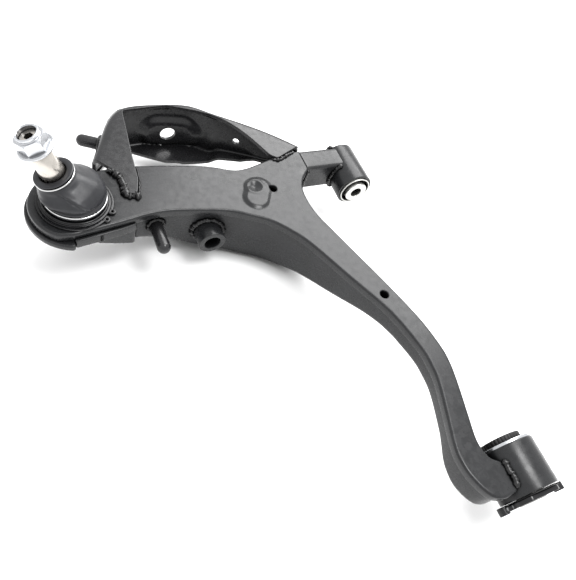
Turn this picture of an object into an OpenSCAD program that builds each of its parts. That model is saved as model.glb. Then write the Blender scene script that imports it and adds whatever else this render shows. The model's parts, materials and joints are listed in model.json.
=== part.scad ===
// Lower control arm of a double-wishbone front suspension: a welded box arm with a rear leg, two pivot
// bushes on one axis, a damper bracket and a ball joint. Origin: centre of the front bush on the pivot
// axis. +X points outboard to the ball joint, +Y along the pivot axis to the rear bush, +Z up.

/* [Layout] */
// Distance between the centres of the two bushes along the pivot axis
bush_spacing = 411; // [400:1:495]
// Distance from the pivot axis outboard to the ball centre
ball_x = 342; // [325:1:412]
// Offset of the ball centre along the pivot axis
ball_y = 12; // [5:1:20]
// Height of the ball centre above the pivot axis
ball_z = 16; // [14:0.5:18]
// Distance from the pivot axis to the damper bolt line
bolt_x = 202; // [190:1:215]
// Height of the damper bolt line
bolt_z = -18; // [-20:0.5:-15]

/* [Arm shells] */
// Height of the flat top plate above the pivot axis
plate_top = 21; // [20:0.5:22]
// Sheet thickness of both pressings
sheet = 4; // [3:0.5:5]
// Depth of the upper pressing's skirt
skirt = 10; // [8:0.5:12]
// Depth of the leg's box section where it is slimmest
leg_depth = 36; // [32:1:42]
// Depth of the leg's box section beside the rear bush
leg_end_depth = 46; // [42:1:50]
// Depth of the box section inboard of the damper bolt line, where it is deepest
bolt_depth = 81; // [72:1:97]
// Radius of the upper pressing around the ball joint
nose_r = 46.5; // [44:0.5:48]
// Gap between the two pressings along their seam
seam_gap = 0.3; // [0.2:0.05:0.5]
// Diameter of the two locating holes in the top plate
locating_hole_d = 10; // [8:0.5:14]
// Height of the raised pad on the top plate
pad_height = 2; // [1:0.5:3]

/* [Ball joint carrier] */
// Radius of the carrier's exposed rim
rim_r = 50; // [48:0.5:54]
// Height of the underside of the rim
rim_bottom = 3; // [2:0.5:5]
// Underside of the carrier below the ball joint
carrier_bottom = 1; // [0:0.5:2]
// Inboard end of the carrier, measured from the ball centre
carrier_length = 57; // [50:1:60]
// Thickness of the side strap
strap_t = 4; // [3:0.5:5]

/* [Front stub] */
// Width of the front stub along the pivot axis
stub_w = 31; // [28:1:36]
// Depth of the front stub
stub_h = 38; // [34:1:40]

/* [Bushes] */
// Diameter of the bolt bore in both inner sleeves
bush_bore_d = 14.2; // [12.2:0.1:16.2]
// Outer diameter of both inner sleeves
inner_sleeve_d = 29; // [26:0.5:30]
// Wall of both outer sleeves
outer_sleeve_t = 1.6; // [1:0.1:2.5]
// Outer diameter of the front bush's housing
front_housing_d = 47; // [46:0.5:50]
// Wall of the front bush's housing
front_housing_t = 3.2; // [2.5:0.1:4]
// Length of the front bush's housing
front_housing_l = 58; // [52:1:64]
// Outer diameter of the rear bush's housing
rear_housing_d = 62; // [58:0.5:75]
// Wall of the rear bush's housing
rear_housing_t = 2; // [1.5:0.1:3]
// Length of the rear bush's housing
rear_housing_l = 48; // [44:1:58]
// Overall width of the rear bush's stop plate
stop_plate_w = 84; // [80:1:101]

/* [Ball joint] */
// Diameter of the ball
ball_d = 34; // [32:0.5:35]
// Largest lean of the stud from upright
stud_cone = 25; // [23:0.5:26]
// Lean of the stud as drawn
stud_lean = 22.4; // [0:0.1:23]
// Compass direction of that lean, from +X towards +Y
lean_azimuth = -14; // [-180:1:180]
// Diameter of the housing where it passes through the arm
joint_body_d = 68; // [66:0.5:70]
// Diameter of the stud's neck
stud_neck_d = 18; // [16:0.5:19]
// Large diameter of the stud's taper
taper_d = 26; // [24:0.5:27]
// Small diameter of the stud's taper
taper_small_d = 20.6; // [19:0.2:22]
// Thread diameter of the stud and its nut
thread_d = 18; // [16:1:18]
// Width across the flats of the nut
nut_af = 27; // [24:1:30]
// Diameter of the nut's flange
nut_flange_d = 36.6; // [34:0.2:40]
// Wall of the dust boot
boot_wall = 2.5; // [2:0.25:3]
// Wire diameter of the two boot clips
clip_wire_d = 2; // [1.5:0.1:2.2]

/* [Damper mounting] */
// Diameter of the bolt hole in the bracket and in the tube
bolt_hole_d = 19; // [16:0.5:21]
// Outer diameter of the tube welded through the arm
tube_d = 32; // [29:0.5:36]
// Where the tube ends on the leg's side of the arm
tube_end_y = 63; // [58:1:72]
// Where the tube ends on the bracket's side of the arm
tube_back_y = -25; // [-27:0.5:-24]
// Distance of the bracket web's outer face from the front bush's centre
web_y = -126; // [-152:1:-122]
// Sheet thickness of the bracket
bracket_t = 4; // [3:0.5:4]
// Underside of the bracket
bracket_bottom = -42; // [-50:1:-40]
// How far the bracket's bottom flange reaches in
bottom_flange = 36; // [30:1:38]

/* [Pegs] */
// Diameter of the peg on the arm's side wall
near_peg_d = 15; // [12:0.5:17]
// Where the tip of that peg ends
near_peg_end_y = 75; // [65:1:85]
// Diameter of the peg on the bracket
far_peg_d = 14; // [11:0.5:16]
// Length of the peg on the bracket
far_peg_l = 27; // [20:1:34]

/* [Hidden] */
$fn = 64;

eps = 0.01;            // overcut that keeps boolean faces apart
far = 1000;            // larger than anything on the arm
press = 0.05;          // radial gap left in a press fit
running = 0.05;        // radial gap of a running fit
air = 0.3;             // gap between pieces that only lie beside each other

paint = [0.09, 0.09, 0.10];
zinc = [0.82, 0.83, 0.84];
steel = [0.62, 0.60, 0.57];
rubber = [0.07, 0.07, 0.07];
liner = [0.85, 0.85, 0.80];
weld = [0.05, 0.05, 0.05];

// ---- curves ----------------------------------------------------------------------------------------

function unit(v) = v / norm(v);
function left_of(v) = unit([-v[1], v[0]]);
function reversed(v) = [for (i = [len(v) - 1 : -1 : 0]) v[i]];
function ease(t) = let (k = min(max(t, 0), 1)) k * k * (3 - 2 * k);

// One point of a curve that runs from b to c, with a and d as its neighbours
function between(a, b, c, d, t) =
    (2 * b + (c - a) * t + (2 * a - 5 * b + 4 * c - d) * t * t + (3 * b - a - 3 * c + d) * t * t * t) / 2;

// A smooth open curve through the points, with steps pieces between neighbours
function curve(points, steps) =
    let (last = len(points) - 1)
    concat(
        [for (i = [0 : last - 1], k = [0 : steps - 1])
            between(points[max(i - 1, 0)], points[i], points[i + 1], points[min(i + 2, last)], k / steps)],
        [points[last]]
    );

// The mitred offset of one corner: d to the left of the way the outline runs
function corner(a, b, c, d) =
    let (m = left_of(b - a), n = left_of(c - b)) b + d * (m + n) / (1 + m * n);

// A closed outline moved inwards by d, for an outline that runs anticlockwise
function inset(points, d) =
    let (count = len(points))
    [for (i = [0 : count - 1]) corner(points[(i + count - 1) % count], points[i], points[(i + 1) % count], d)];

// An open line moved to its left by d
function beside(points, d) =
    let (last = len(points) - 1)
    [for (i = [0 : last])
        i == 0 ? points[0] + d * left_of(points[1] - points[0])
        : i == last ? points[last] + d * left_of(points[last] - points[last - 1])
        : corner(points[i - 1], points[i], points[i + 1], d)];

// A band of width d on the left of an open line
function band(points, d) = concat(points, reversed(beside(points, d)));

// ---- the arm's plan --------------------------------------------------------------------------------

// Places measured from the ball centre, from the damper bolt line and from the rear bush
function at_ball(dx, dy) = [ball_x + dx, ball_y + dy];
function at_bolt(dx, y) = [bolt_x + dx, y];
function at_rear(dx, dy) = [dx, bush_spacing + dy];

rear_housing_r = rear_housing_d / 2;
front_housing_r = front_housing_d / 2;
stub_y = 3;                                   // leg's side of the front stub
stub_end_x = 62;                              // where the shells end and the stub begins
// Where the top plate meets the rear housing
leg_joint_x = sqrt(rear_housing_r * rear_housing_r - plate_top * plate_top);
nose_turn = 62;                               // half of the nose's round stretch, in degrees
carrier_x = ball_x - carrier_length;

near_edge = curve([
    at_ball(9, 41), at_ball(-38, 34), at_bolt(58, 39), at_bolt(14, 44), at_bolt(-18, 51),
    at_bolt(-39, 61), at_bolt(-59, 72), [125, 90], [109, 112], [83, 165], [57.5, 216],
    at_rear(45, -147), at_rear(44, -127), at_rear(46, -107), at_rear(57, -71), at_rear(67, -40),
    at_rear(68.5, -24), at_rear(67, -11), at_rear(62, 3), at_rear(54, 15), at_rear(42, 20)
], 3);
far_edge = curve([
    at_rear(36, -19), at_rear(39, -36), at_rear(33.5, -60), at_rear(27, -85), at_rear(21, -111),
    at_rear(19, -126), at_rear(19, -140), [24, 239], [34, 205], [46, 170], [60, 132], [74, 94],
    [81, 75], [84, 55], [83, 33], [76, 17]
], 3);
back_edge = curve([
    [98, -23], at_bolt(-86, -17), at_bolt(-49, -8), at_bolt(-12, -20), at_bolt(65, -31), at_ball(-22, -41)
], 3);
nose_arc = [for (a = [-nose_turn : 8 : nose_turn]) at_ball(nose_r * cos(a), nose_r * sin(a))];

arm_plan = concat(
    near_edge,
    [at_rear(leg_joint_x - sheet, 17), at_rear(leg_joint_x - sheet, -8)],
    far_edge,
    [[stub_end_x, stub_y], [stub_end_x, stub_y - stub_w], [76, stub_y - stub_w]],
    back_edge,
    nose_arc
);
inner_plan = inset(arm_plan, sheet + seam_gap);

// ---- the arm's side view ---------------------------------------------------------------------------

side_reach = 80;                              // the side views run this far past the arm's ends
deep = plate_top - bolt_depth;
leg_low = plate_top - leg_depth;
leg_end_low = plate_top - leg_end_depth;
// Underside of the leg in Y and Z, from the transverse part to the rear bush
under_leg = concat(
    [[-side_reach, deep - 10], [60, deep - 10]],
    curve([
        [78, deep], [93, deep + 6], [117, deep + 15], [143, deep + 23], [168, leg_low - 14],
        [193, leg_low - 7], [230, leg_low - 2], [bush_spacing - 120, leg_low],
        [bush_spacing - 61, leg_low + 1], [bush_spacing - 36, leg_low - 5], [bush_spacing - 11, leg_end_low]
    ], 2),
    [[bush_spacing + side_reach, leg_end_low]]
);
// Underside of the transverse part in X and Z, from the front stub to the ball joint
under_arm = concat(
    [[-side_reach, leg_end_low - 5], [60, leg_end_low - 5]],
    curve([
        [84, deep + 22], [103, deep + 12], [118, deep + 5], [bolt_x - 62, deep], [bolt_x - 28, deep + 0.5],
        [bolt_x + 10, deep + 8.5], [bolt_x + 41, deep + 21.5], [carrier_x, deep + 36],
        [ball_x - 2, carrier_bottom]
    ], 3),
    [[ball_x + side_reach, carrier_bottom]]
);
function lifted(line, d) = [for (p = line) [p[0], p[1] + d]];
// The region between a lower line and an upper line that both run the same way
function region(low, high) = concat(low, reversed(high));
sky = 150;                                    // above everything that the side views cut
function level(line, z) = [[line[0][0], z], [line[len(line) - 1][0], z]];

module across(points) {                       // a side view in Y and Z, drawn right across the arm
    translate([-far / 2, 0, 0]) rotate([90, 0, 90]) linear_extrude(far) polygon(points);
}
module along(points) {                        // a front view in X and Z, drawn right along the arm
    translate([0, far / 2, 0]) rotate([90, 0, 0]) linear_extrude(far) polygon(points);
}
module prism(points, low, high) {
    translate([0, 0, low]) linear_extrude(high - low) polygon(points);
}
// A straight round bar along Y
module bar_y(r, from, to) {
    translate([0, to, 0]) rotate([90, 0, 0]) cylinder(r = r, h = to - from);
}
module tube_y(r_out, r_in, from, to) {
    difference() {
        bar_y(r_out, from, to);
        bar_y(r_in, from - 1, to + 1);
    }
}
// A ring of triangular section around Y, with its square corner at the inner edge where y is from
module fillet_ring_y(r, leg, from) {
    rotate([-90, 0, 0]) rotate_extrude() polygon([[r, from], [r + leg, from], [r, from + leg]]);
}

module above_bottom(lift) {
    intersection() {
        along(region(lifted(under_arm, lift), level(under_arm, sky)));
        across(region(lifted(under_leg, lift), level(under_leg, sky)));
    }
}
module housing_room(r) {
    bar_y(r + air, -60, 60);
}
module rear_room() {
    bar_y(rear_housing_r + air, bush_spacing - 60, bush_spacing + 60);
}
module bolt_line() {
    translate([bolt_x, 0, bolt_z]) children();
}

// ---- the arm ---------------------------------------------------------------------------------------

joint_r = joint_body_d / 2;
pad_at = [142, 31];
pad_r = 20.5;
pad_shift = 6.5;                              // the pad is this much longer than round, each way
pad_turn = 60;                                // direction of its length
dimple_at = [143, 23];
dimple_r = 9;
dimple_depth = 3;
locating_holes = [[121, 27], [53, 195]];

module pad_shape(r, low, high) {
    translate([pad_at[0], pad_at[1], low]) rotate(pad_turn) {
        for (side = [-1, 1]) translate([side * pad_shift, 0, 0]) cylinder(r = r, h = high - low);
        translate([-pad_shift, -r, 0]) cube([2 * pad_shift, 2 * r, high - low]);
    }
}
module upper_shell() color(paint) {
    difference() {
        union() {
            prism(arm_plan, plate_top - skirt, plate_top);
            pad_shape(pad_r, plate_top - sheet, plate_top + pad_height);
        }
        prism(inset(arm_plan, sheet), -far, plate_top - sheet);
        for (p = locating_holes)
            translate([p[0], p[1], plate_top - 2 * sheet]) cylinder(d = locating_hole_d, h = 4 * sheet);
        translate([dimple_at[0], dimple_at[1], plate_top + pad_height - dimple_depth])
            cylinder(r = dimple_r, h = far);
        translate([ball_x, ball_y, 0]) cylinder(r = joint_r + press, h = far);
        rear_room();
    }
}

module lower_shell() color(paint) {
    difference() {
        intersection() {
            prism(inner_plan, -far, plate_top - sheet - seam_gap);
            above_bottom(0);
            translate([-far, -far, -far]) cube([far + carrier_x - air, 2 * far, 2 * far]);
        }
        intersection() {
            prism(inset(inner_plan, sheet), -far, far);
            above_bottom(sheet);
        }
        rear_room();
        bolt_line() bar_y(tube_d / 2 + air, -far / 4, far / 4);
    }
}

module carrier_side() {
    translate([carrier_x, -far, -far]) cube([far, 2 * far, 2 * far]);
}
rim_start = 9;                                // the rim begins this far outboard of the ball
module ball_joint_carrier() color(paint) {
    difference() {
        union() {
            intersection() {
                union() {
                    prism(inner_plan, -far, plate_top - sheet - seam_gap);
                    prism(arm_plan, -far, plate_top - skirt - seam_gap);
                }
                above_bottom(0);
                carrier_side();
            }
            translate([ball_x, ball_y, rim_bottom])
                intersection() {
                    cylinder(r = rim_r, h = plate_top - skirt - seam_gap - rim_bottom);
                    translate([rim_start, -far, -far]) cube([far, 2 * far, 2 * far]);
                }
        }
        translate([ball_x, ball_y, -far / 2]) cylinder(r = joint_r + press, h = far);
        translate([ball_x, ball_y, carrier_bottom - far]) cylinder(r = joint_flange_r + air, h = far);
    }
}

// The near edge between the carrier's inboard end and the nose
strap_line = curve([at_ball(rim_start, 41), at_ball(-38, 34), [carrier_x + 2, ball_y + 29.2]], 3);
strap_top = 7;                                // below the top plate
module side_strap() color(paint) {
    difference() {
        prism(reversed(band(reversed(strap_line), strap_t)), rim_bottom, plate_top - strap_top);
        prism(arm_plan, -far, far);
        translate([ball_x + rim_start, -far, -far]) cube([far, 2 * far, 2 * far]);
    }
}

module front_stub() color(paint) {
    wall = sheet;
    difference() {
        translate([0, stub_y - stub_w, plate_top - stub_h]) cube([stub_end_x - air, stub_w, stub_h]);
        translate([-1, stub_y - stub_w + wall, plate_top - stub_h + wall])
            cube([stub_end_x + 2, stub_w - 2 * wall, stub_h - 2 * wall]);
        housing_room(front_housing_r);
        translate([-far, -far, -far]) cube([far, 2 * far, 2 * far]);
    }
}

// ---- the bushes ------------------------------------------------------------------------------------

sleeve_r = inner_sleeve_d / 2;
bush_bore_r = bush_bore_d / 2;
front_bore_r = front_housing_r - front_housing_t;
rear_bore_r = rear_housing_r - rear_housing_t;
sleeve_proud = 3;                             // the inner sleeve stands this far out of the outer one
outer_proud = 2;                              // the outer sleeve stands this far out of the housing
rubber_dip = 3;                               // depth of the groove in the rubber's face
front_half = front_housing_l / 2;

module bonded_rubber(r_out, r_in, from, to) {
    difference() {
        tube_y(r_out, r_in, from, to);
        for (end = [from, to]) translate([0, end, 0]) rotate([90, 0, 0]) rotate_extrude()
            translate([(r_out + r_in) / 2, 0]) circle(r = rubber_dip);
    }
}

module front_bush_housing() color(paint)
    tube_y(front_housing_r, front_bore_r, -front_half, front_half);
module front_bush_outer_sleeve() color(zinc)
    tube_y(front_bore_r - press, front_bore_r - outer_sleeve_t, -front_half - outer_proud,
        front_half + outer_proud);
module front_bush_rubber() color(rubber)
    bonded_rubber(front_bore_r - outer_sleeve_t - press, sleeve_r + running, -front_half, front_half);
module front_bush_inner_sleeve() color(zinc)
    tube_y(sleeve_r, bush_bore_r, -front_half - outer_proud - sleeve_proud,
        front_half + outer_proud + sleeve_proud);

rear_from = bush_spacing - rear_housing_l / 2;
rear_to = bush_spacing + rear_housing_l / 2;
sleeve_end_l = 3;                             // bright end of the outer sleeve in front of the housing
sleeve_end_step = 0.6;                        // it is this much smaller than the housing, in radius
collar_r = 16;                                // rubber collar around the inner sleeve's front end
collar_l = 4;
snubber_r = 27;
snubber_t = 1.5;
snubber_gap = 0.5;                            // between the snubber and the bush, which turn apart
stop_t = 5;
snubber_from = rear_to + snubber_gap;
stop_from = snubber_from + snubber_t;
sleeve_end_y = rear_from - sleeve_end_l;      // front end of the rear bush's outer sleeve

module rear_bush_housing() color(paint)
    tube_y(rear_housing_r, rear_bore_r, rear_from, rear_to);
module rear_bush_outer_sleeve() color(zinc) {
    rear_tube_r = rear_bore_r - outer_sleeve_t;
    tube_y(rear_bore_r - press, rear_tube_r, sleeve_end_y, rear_to);
    tube_y(rear_housing_r - sleeve_end_step, rear_tube_r, sleeve_end_y, rear_from);
}
module rear_bush_rubber() color(rubber) {
    bonded_rubber(rear_bore_r - outer_sleeve_t - press, sleeve_r + running, sleeve_end_y + 1, rear_to);
    tube_y(collar_r, sleeve_r + running, sleeve_end_y - collar_l, sleeve_end_y + 2);
}
module rear_bush_inner_sleeve() color(zinc)
    tube_y(sleeve_r, bush_bore_r, sleeve_end_y - collar_l, stop_from + stop_t + 1);
module rear_bush_snubber() color(rubber)
    tube_y(snubber_r, sleeve_r + press, snubber_from, stop_from);

lug_r = 5.5;
lug_reach = 1.5;                              // the lugs reach this far past both faces of the plate
lug_drop = 0.5;                               // one lug sits higher than the other
stop_r = 28;
stop_top = 22;                                // the round plate is cut flat this far above the axis
stop_bottom = 19;                             // and this far below it
arm_half_h = 6;                               // half of the height of the arms that carry the lugs
bulge_at = [4, -20];                          // the lower bulge, in X and Z
bulge_r = 9;
module rear_bush_stop_plate() color(paint) {
    lug_x = stop_plate_w / 2 - lug_r;
    stop_to = stop_from + stop_t;
    difference() {
        union() {
            intersection() {
                bar_y(stop_r, stop_from, stop_to);
                translate([-stop_r, stop_from - 1, -stop_bottom])
                    cube([2 * stop_r, stop_t + 2, stop_top + stop_bottom]);
            }
            translate([-lug_x, stop_from, -arm_half_h - 1]) cube([2 * lug_x, stop_t, 2 * arm_half_h]);
            translate([bulge_at[0], 0, bulge_at[1]]) bar_y(bulge_r, stop_from, stop_to);
            for (side = [-1, 1]) translate([side * lug_x, 0, -side * lug_drop - 1])
                bar_y(lug_r, stop_from - lug_reach, stop_to + lug_reach);
        }
        bar_y(sleeve_r + press, stop_from - 1, stop_to + 1);
    }
}

// ---- the ball joint --------------------------------------------------------------------------------

ball_r = ball_d / 2;
neck_r = stud_neck_d / 2;
taper_r = taper_d / 2;
taper_small_r = taper_small_d / 2;
thread_r = thread_d / 2;
seat_wall = 3;
seat_top = 7;                                 // height of the seat's lip above the ball centre
housing_floor = -25;                          // underside of the housing, from the ball centre
cover_t = 2.8;
joint_flange = 4;                             // thickness of the flange below the carrier
joint_flange_r = joint_r + 3.5;
clip_t = 2.4;
circlip_r = joint_r + 4.5;
groove_depth = 1.8;
shoulder_top = 11;                            // top of the housing's shoulder above the ball centre
neck_top = 18;                                // top of the housing's boot seat above the ball centre
boot_seat_r = 29.5;
stud_room = 1.2;                              // gap between the neck and the housing at full lean
function stud_reach(h) = h * tan(stud_cone) + neck_r / cos(stud_cone) + stud_room;

module at_joint() { translate([ball_x, ball_y, ball_z]) children(); }
module leaning() { at_joint() rotate([0, stud_lean, lean_azimuth]) children(); }

plate_z = plate_top - ball_z;                 // the top plate, seen from the ball centre
carrier_z = carrier_bottom - ball_z;
module ball_joint_housing() color(paint) at_joint() {
    clip_low = plate_z + press;
    clip_high = clip_low + clip_t + 2 * press;
    seat_r = ball_r + seat_wall + press;
    throat_r = sqrt(pow(ball_r, 2) - pow(seat_top, 2)) + air;
    rotate_extrude() polygon([
        [seat_r, housing_floor + cover_t + 1], [ball_r + 8, housing_floor + cover_t + 1],
        [ball_r + 8, housing_floor], [joint_flange_r - 8, housing_floor],
        [joint_flange_r - 3, housing_floor + 3], [joint_flange_r - 3, carrier_z - joint_flange],
        [joint_flange_r, carrier_z - joint_flange], [joint_flange_r, carrier_z], [joint_r, carrier_z],
        [joint_r, clip_low], [joint_r - groove_depth, clip_low], [joint_r - groove_depth, clip_high],
        [joint_r, clip_high], [joint_r, shoulder_top - 1], [joint_r - 1, shoulder_top],
        [boot_seat_r, shoulder_top], [boot_seat_r, neck_top],
        [stud_reach(neck_top), neck_top], [throat_r, seat_top + 1],
        [throat_r, seat_top + press], [seat_r, seat_top + press]
    ]);
}
module ball_joint_cover() color(paint) at_joint()
    translate([0, 0, housing_floor]) cylinder(r = ball_r + 8 - press, h = cover_t);
module ball_joint_seat() color(liner) at_joint() {
    difference() {
        translate([0, 0, housing_floor + cover_t + 1])
            cylinder(r = ball_r + seat_wall, h = seat_top - housing_floor - cover_t - 1);
        sphere(r = ball_r + running);
    }
}

ear_angle = 140;                              // compass direction of the circlip's ears
ear_half = 9;                                 // half of the opening between them, in degrees
ear_r = 3.6;
module ball_joint_circlip() color(paint) at_joint() translate([0, 0, plate_z + 2 * press]) {
    inner = joint_r - groove_depth + press;
    difference() {
        union() {
            cylinder(r = circlip_r, h = clip_t);
            for (side = [-1, 1]) rotate(ear_angle + side * ear_half)
                translate([circlip_r, 0, 0]) cylinder(r = ear_r, h = clip_t);
        }
        translate([0, 0, -1]) cylinder(r = inner, h = clip_t + 2);
        rotate(ear_angle) translate([0, -1.8, -1]) cube([2 * circlip_r, 3.6, clip_t + 2]);
        for (side = [-1, 1]) rotate(ear_angle + side * ear_half)
            translate([circlip_r, 0, -1]) cylinder(r = 1.3, h = clip_t + 2);
    }
}

// Distances along the stud, from the ball centre
neck_end = 36;
taper_start = 47;
taper_end = 80;
nut_start = 84;
nut_flange_t = 4;
nut_hex_l = 12;
nut_collar_l = 4;
nut_collar_r = 11.5;
nut_end = nut_start + nut_flange_t + nut_hex_l + nut_collar_l;
stud_recess = 5;
stud_end = nut_end - stud_recess;
socket_af = 8;
socket_depth = 7;
module hexagon(af, h) { cylinder(r = af / 2 / cos(30), h = h, $fn = 6); }

module ball_stud() color(steel) leaning() {
    difference() {
        union() {
            sphere(r = ball_r);
            rotate_extrude() polygon([
                [0, 0], [neck_r, 0], [neck_r, neck_end], [taper_r, taper_start],
                [taper_small_r, taper_end], [thread_r, taper_end + 1], [thread_r, stud_end - 1],
                [thread_r - 1, stud_end], [0, stud_end]
            ]);
        }
        translate([0, 0, stud_end - socket_depth]) hexagon(socket_af, socket_depth + 1);
    }
}
module stud_nut() color(zinc) leaning() {
    hex_r = nut_af / 2 / cos(30);
    difference() {
        union() {
            translate([0, 0, nut_start]) cylinder(d = nut_flange_d, h = nut_flange_t / 2);
            translate([0, 0, nut_start + nut_flange_t / 2])
                cylinder(d1 = nut_flange_d, d2 = nut_af + 2, h = nut_flange_t / 2);
            intersection() {
                translate([0, 0, nut_start + eps])
                    hexagon(nut_af, nut_flange_t + nut_hex_l - eps);
                translate([0, 0, nut_start]) cylinder(r1 = hex_r + 6, r2 = nut_af / 2 - 0.5,
                    h = nut_flange_t + nut_hex_l + 0.2);
            }
            translate([0, 0, nut_end - nut_collar_l - eps]) cylinder(r = nut_collar_r, h = nut_collar_l);
        }
        translate([0, 0, nut_start - 1]) cylinder(r = thread_r + 2 * running, h = nut_end - nut_start + 2);
    }
}

// The boot's wall as height above the ball centre and radius, outside and inside
boot_foot = shoulder_top + 1.5;
boot_grip = neck_top - 1;
boot_lip = 50;
boot_outside = [
    [boot_foot, 32], [boot_grip, 32], [20, 33.5], [24, 33], [29, 30.5], [34, 27], [39, 23], [43, 19.5],
    [46, 18.6], [boot_lip, 18.2]
];
boot_inside = [
    [boot_foot, boot_seat_r + air], [neck_top + 0.5, boot_seat_r + air], [20, 33.5 - boot_wall],
    [24, 33 - boot_wall], [29, 30.5 - boot_wall], [34, 27 - boot_wall], [39, 23 - boot_wall],
    [43, 19.5 - boot_wall], [45, taper_r + 0.5], [boot_lip, taper_r + 0.5]
];
boot_sides = 36;
function boot_lean(h) = stud_lean * ease((h - boot_grip) / (44 - boot_grip));
// One point of the boot: height h along the bending centre line, radius r, at angle a around it
function boot_point(h, r, a) =
    let (t = boot_lean(h), u = h * sin(t) + r * cos(a) * cos(t), z = h * cos(t) - r * cos(a) * sin(t))
    [u, r * sin(a), z];
function boot_ring(h, r) = [for (k = [0 : boot_sides - 1]) boot_point(h, r, 360 * k / boot_sides)];
module dust_boot() color(rubber) {
    loop = concat(boot_outside, reversed(boot_inside));
    rings = len(loop);
    points = [for (p = loop) each boot_ring(p[0], p[1])];
    faces = [for (i = [0 : rings - 1], k = [0 : boot_sides - 1])
        let (j = (i + 1) % rings, m = (k + 1) % boot_sides)
        each [
            [i * boot_sides + k, j * boot_sides + m, i * boot_sides + m],
            [i * boot_sides + k, j * boot_sides + k, j * boot_sides + m]
        ]];
    at_joint() rotate(lean_azimuth) polyhedron(points, faces);
}
module wire_ring(r, h) {
    translate([0, 0, h]) rotate_extrude() translate([r + clip_wire_d / 2 + air, 0]) circle(d = clip_wire_d);
}
module boot_lower_clip() color(steel) at_joint() wire_ring(32, boot_foot + 2.4);
module boot_upper_clip() color(steel) leaning() wire_ring(18.6, 47);

// ---- the damper mounting ---------------------------------------------------------------------------

leg_tip = at_ball(-30, -57);
leg_turn = at_bolt(85, web_y + 30);
outer_line = concat([leg_tip], curve([
    leg_turn, at_bolt(73, web_y + 12), at_bolt(53, web_y),
    at_bolt(6, web_y), at_bolt(-26, web_y + 5), at_bolt(-47, web_y + 20), [122, -85], [90, -62], [59, -34]
], 3));
inner_line = concat(
    [[98, -16]],
    curve([[106, -22], [128, -68], at_bolt(-45, web_y + 27), at_bolt(6, web_y + 6)], 3),
    [at_bolt(59, web_y + 10), at_bolt(62, web_y + 40), at_bolt(67, -38), at_bolt(69, -8)],
    [at_ball(-65, 0), at_ball(-55, 0), at_ball(-55, -27)]
);
flange_plan = concat(inner_line, outer_line);
web_plan = band(reversed(outer_line), bracket_t);
pad_half = 24;                                // half of the straight length of the web's raised pad
web_pad_r = 17;
web_pad_t = 4;
vent_d = 8.6;
vent_at = [121, -84, -7];
vent_turn = 33;                               // direction of the web there

module damper_bracket() color(paint) {
    difference() {
        union() {
            prism(flange_plan, plate_top, plate_top + bracket_t);
            intersection() {
                prism(web_plan, bracket_bottom, plate_top + eps);
                along([
                    [50, plate_top + 1], [50, -2], [87, -30], [bolt_x - 58, bracket_bottom],
                    [bolt_x + 84, bracket_bottom], [ball_x - 34, -6], [ball_x, -6], [ball_x, plate_top + 1]
                ]);
            }
            intersection() {
                prism(outer_line, bracket_bottom, bracket_bottom + bracket_t);
                translate([bolt_x - 58, web_y - 1, -far / 2]) cube([140, bottom_flange + 1, far]);
            }
            bolt_line() {
                for (side = [-1, 1]) translate([side * pad_half / 2, 0, 0])
                    bar_y(web_pad_r, web_y + bracket_t / 2, web_y + bracket_t + web_pad_t);
                translate([-pad_half / 2, web_y + bracket_t / 2, -web_pad_r])
                    cube([pad_half, bracket_t / 2 + web_pad_t, 2 * web_pad_r]);
            }
        }
        bolt_line() bar_y(bolt_hole_d / 2, web_y - 1, web_y + 20);
        translate(vent_at) rotate([0, 0, -vent_turn]) bar_y(vent_d / 2, -12, 12);
    }
}
module damper_bolt_tube() color(paint)
    bolt_line() tube_y(tube_d / 2, bolt_hole_d / 2, tube_back_y, tube_end_y);

// ---- the pegs --------------------------------------------------------------------------------------

peg_wall_y = 39 - sheet - seam_gap;           // the lower pressing's side wall beside the peg
near_peg_at = [bolt_x + 60, -4];
peg_foot_cut = 0.3;                           // the pegs are this much thinner inside their beads
module near_peg() color(paint) {
    r = near_peg_d / 2;
    foot_end = peg_wall_y + bead - 0.5;
    translate([near_peg_at[0], 0, near_peg_at[1]]) {
        bar_y(r - peg_foot_cut, peg_wall_y + 1, foot_end + 1);
        bar_y(r, foot_end, near_peg_end_y - r);
        translate([0, near_peg_end_y - r, 0]) sphere(r = r);
    }
}
far_peg_z = 9;
far_peg_place = 0.68;                         // how far along the leg's side, from its tip
far_peg_foot = leg_tip + far_peg_place * (leg_turn - leg_tip);
far_peg_turn = atan2(leg_turn[1] - leg_tip[1], leg_turn[0] - leg_tip[0]) + 90;
module on_bracket_side() {
    translate([far_peg_foot[0], far_peg_foot[1], far_peg_z]) rotate([0, 0, far_peg_turn]) children();
}
module far_peg() color(paint) {
    r = far_peg_d / 2;
    foot_end = bead - 0.5;
    on_bracket_side() rotate([0, 90, 0]) {
        translate([0, 0, air]) cylinder(r = r - peg_foot_cut, h = foot_end + 1 - air);
        translate([0, 0, foot_end]) cylinder(r = r, h = far_peg_l - r - foot_end);
        translate([0, 0, far_peg_l - r]) sphere(r = r);
    }
}

// ---- the weld beads --------------------------------------------------------------------------------

bead = 5;                                     // leg length of the fillet beads
bead_h = 3;                                   // height of the beads that lie on the top plate
rear_weld_l = 26;                             // length of the bead beside the rear bush
outer_room = inset(inner_plan, -press);       // just clear of the lower pressing's side wall
arm_room = inset(arm_plan, -press);

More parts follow.
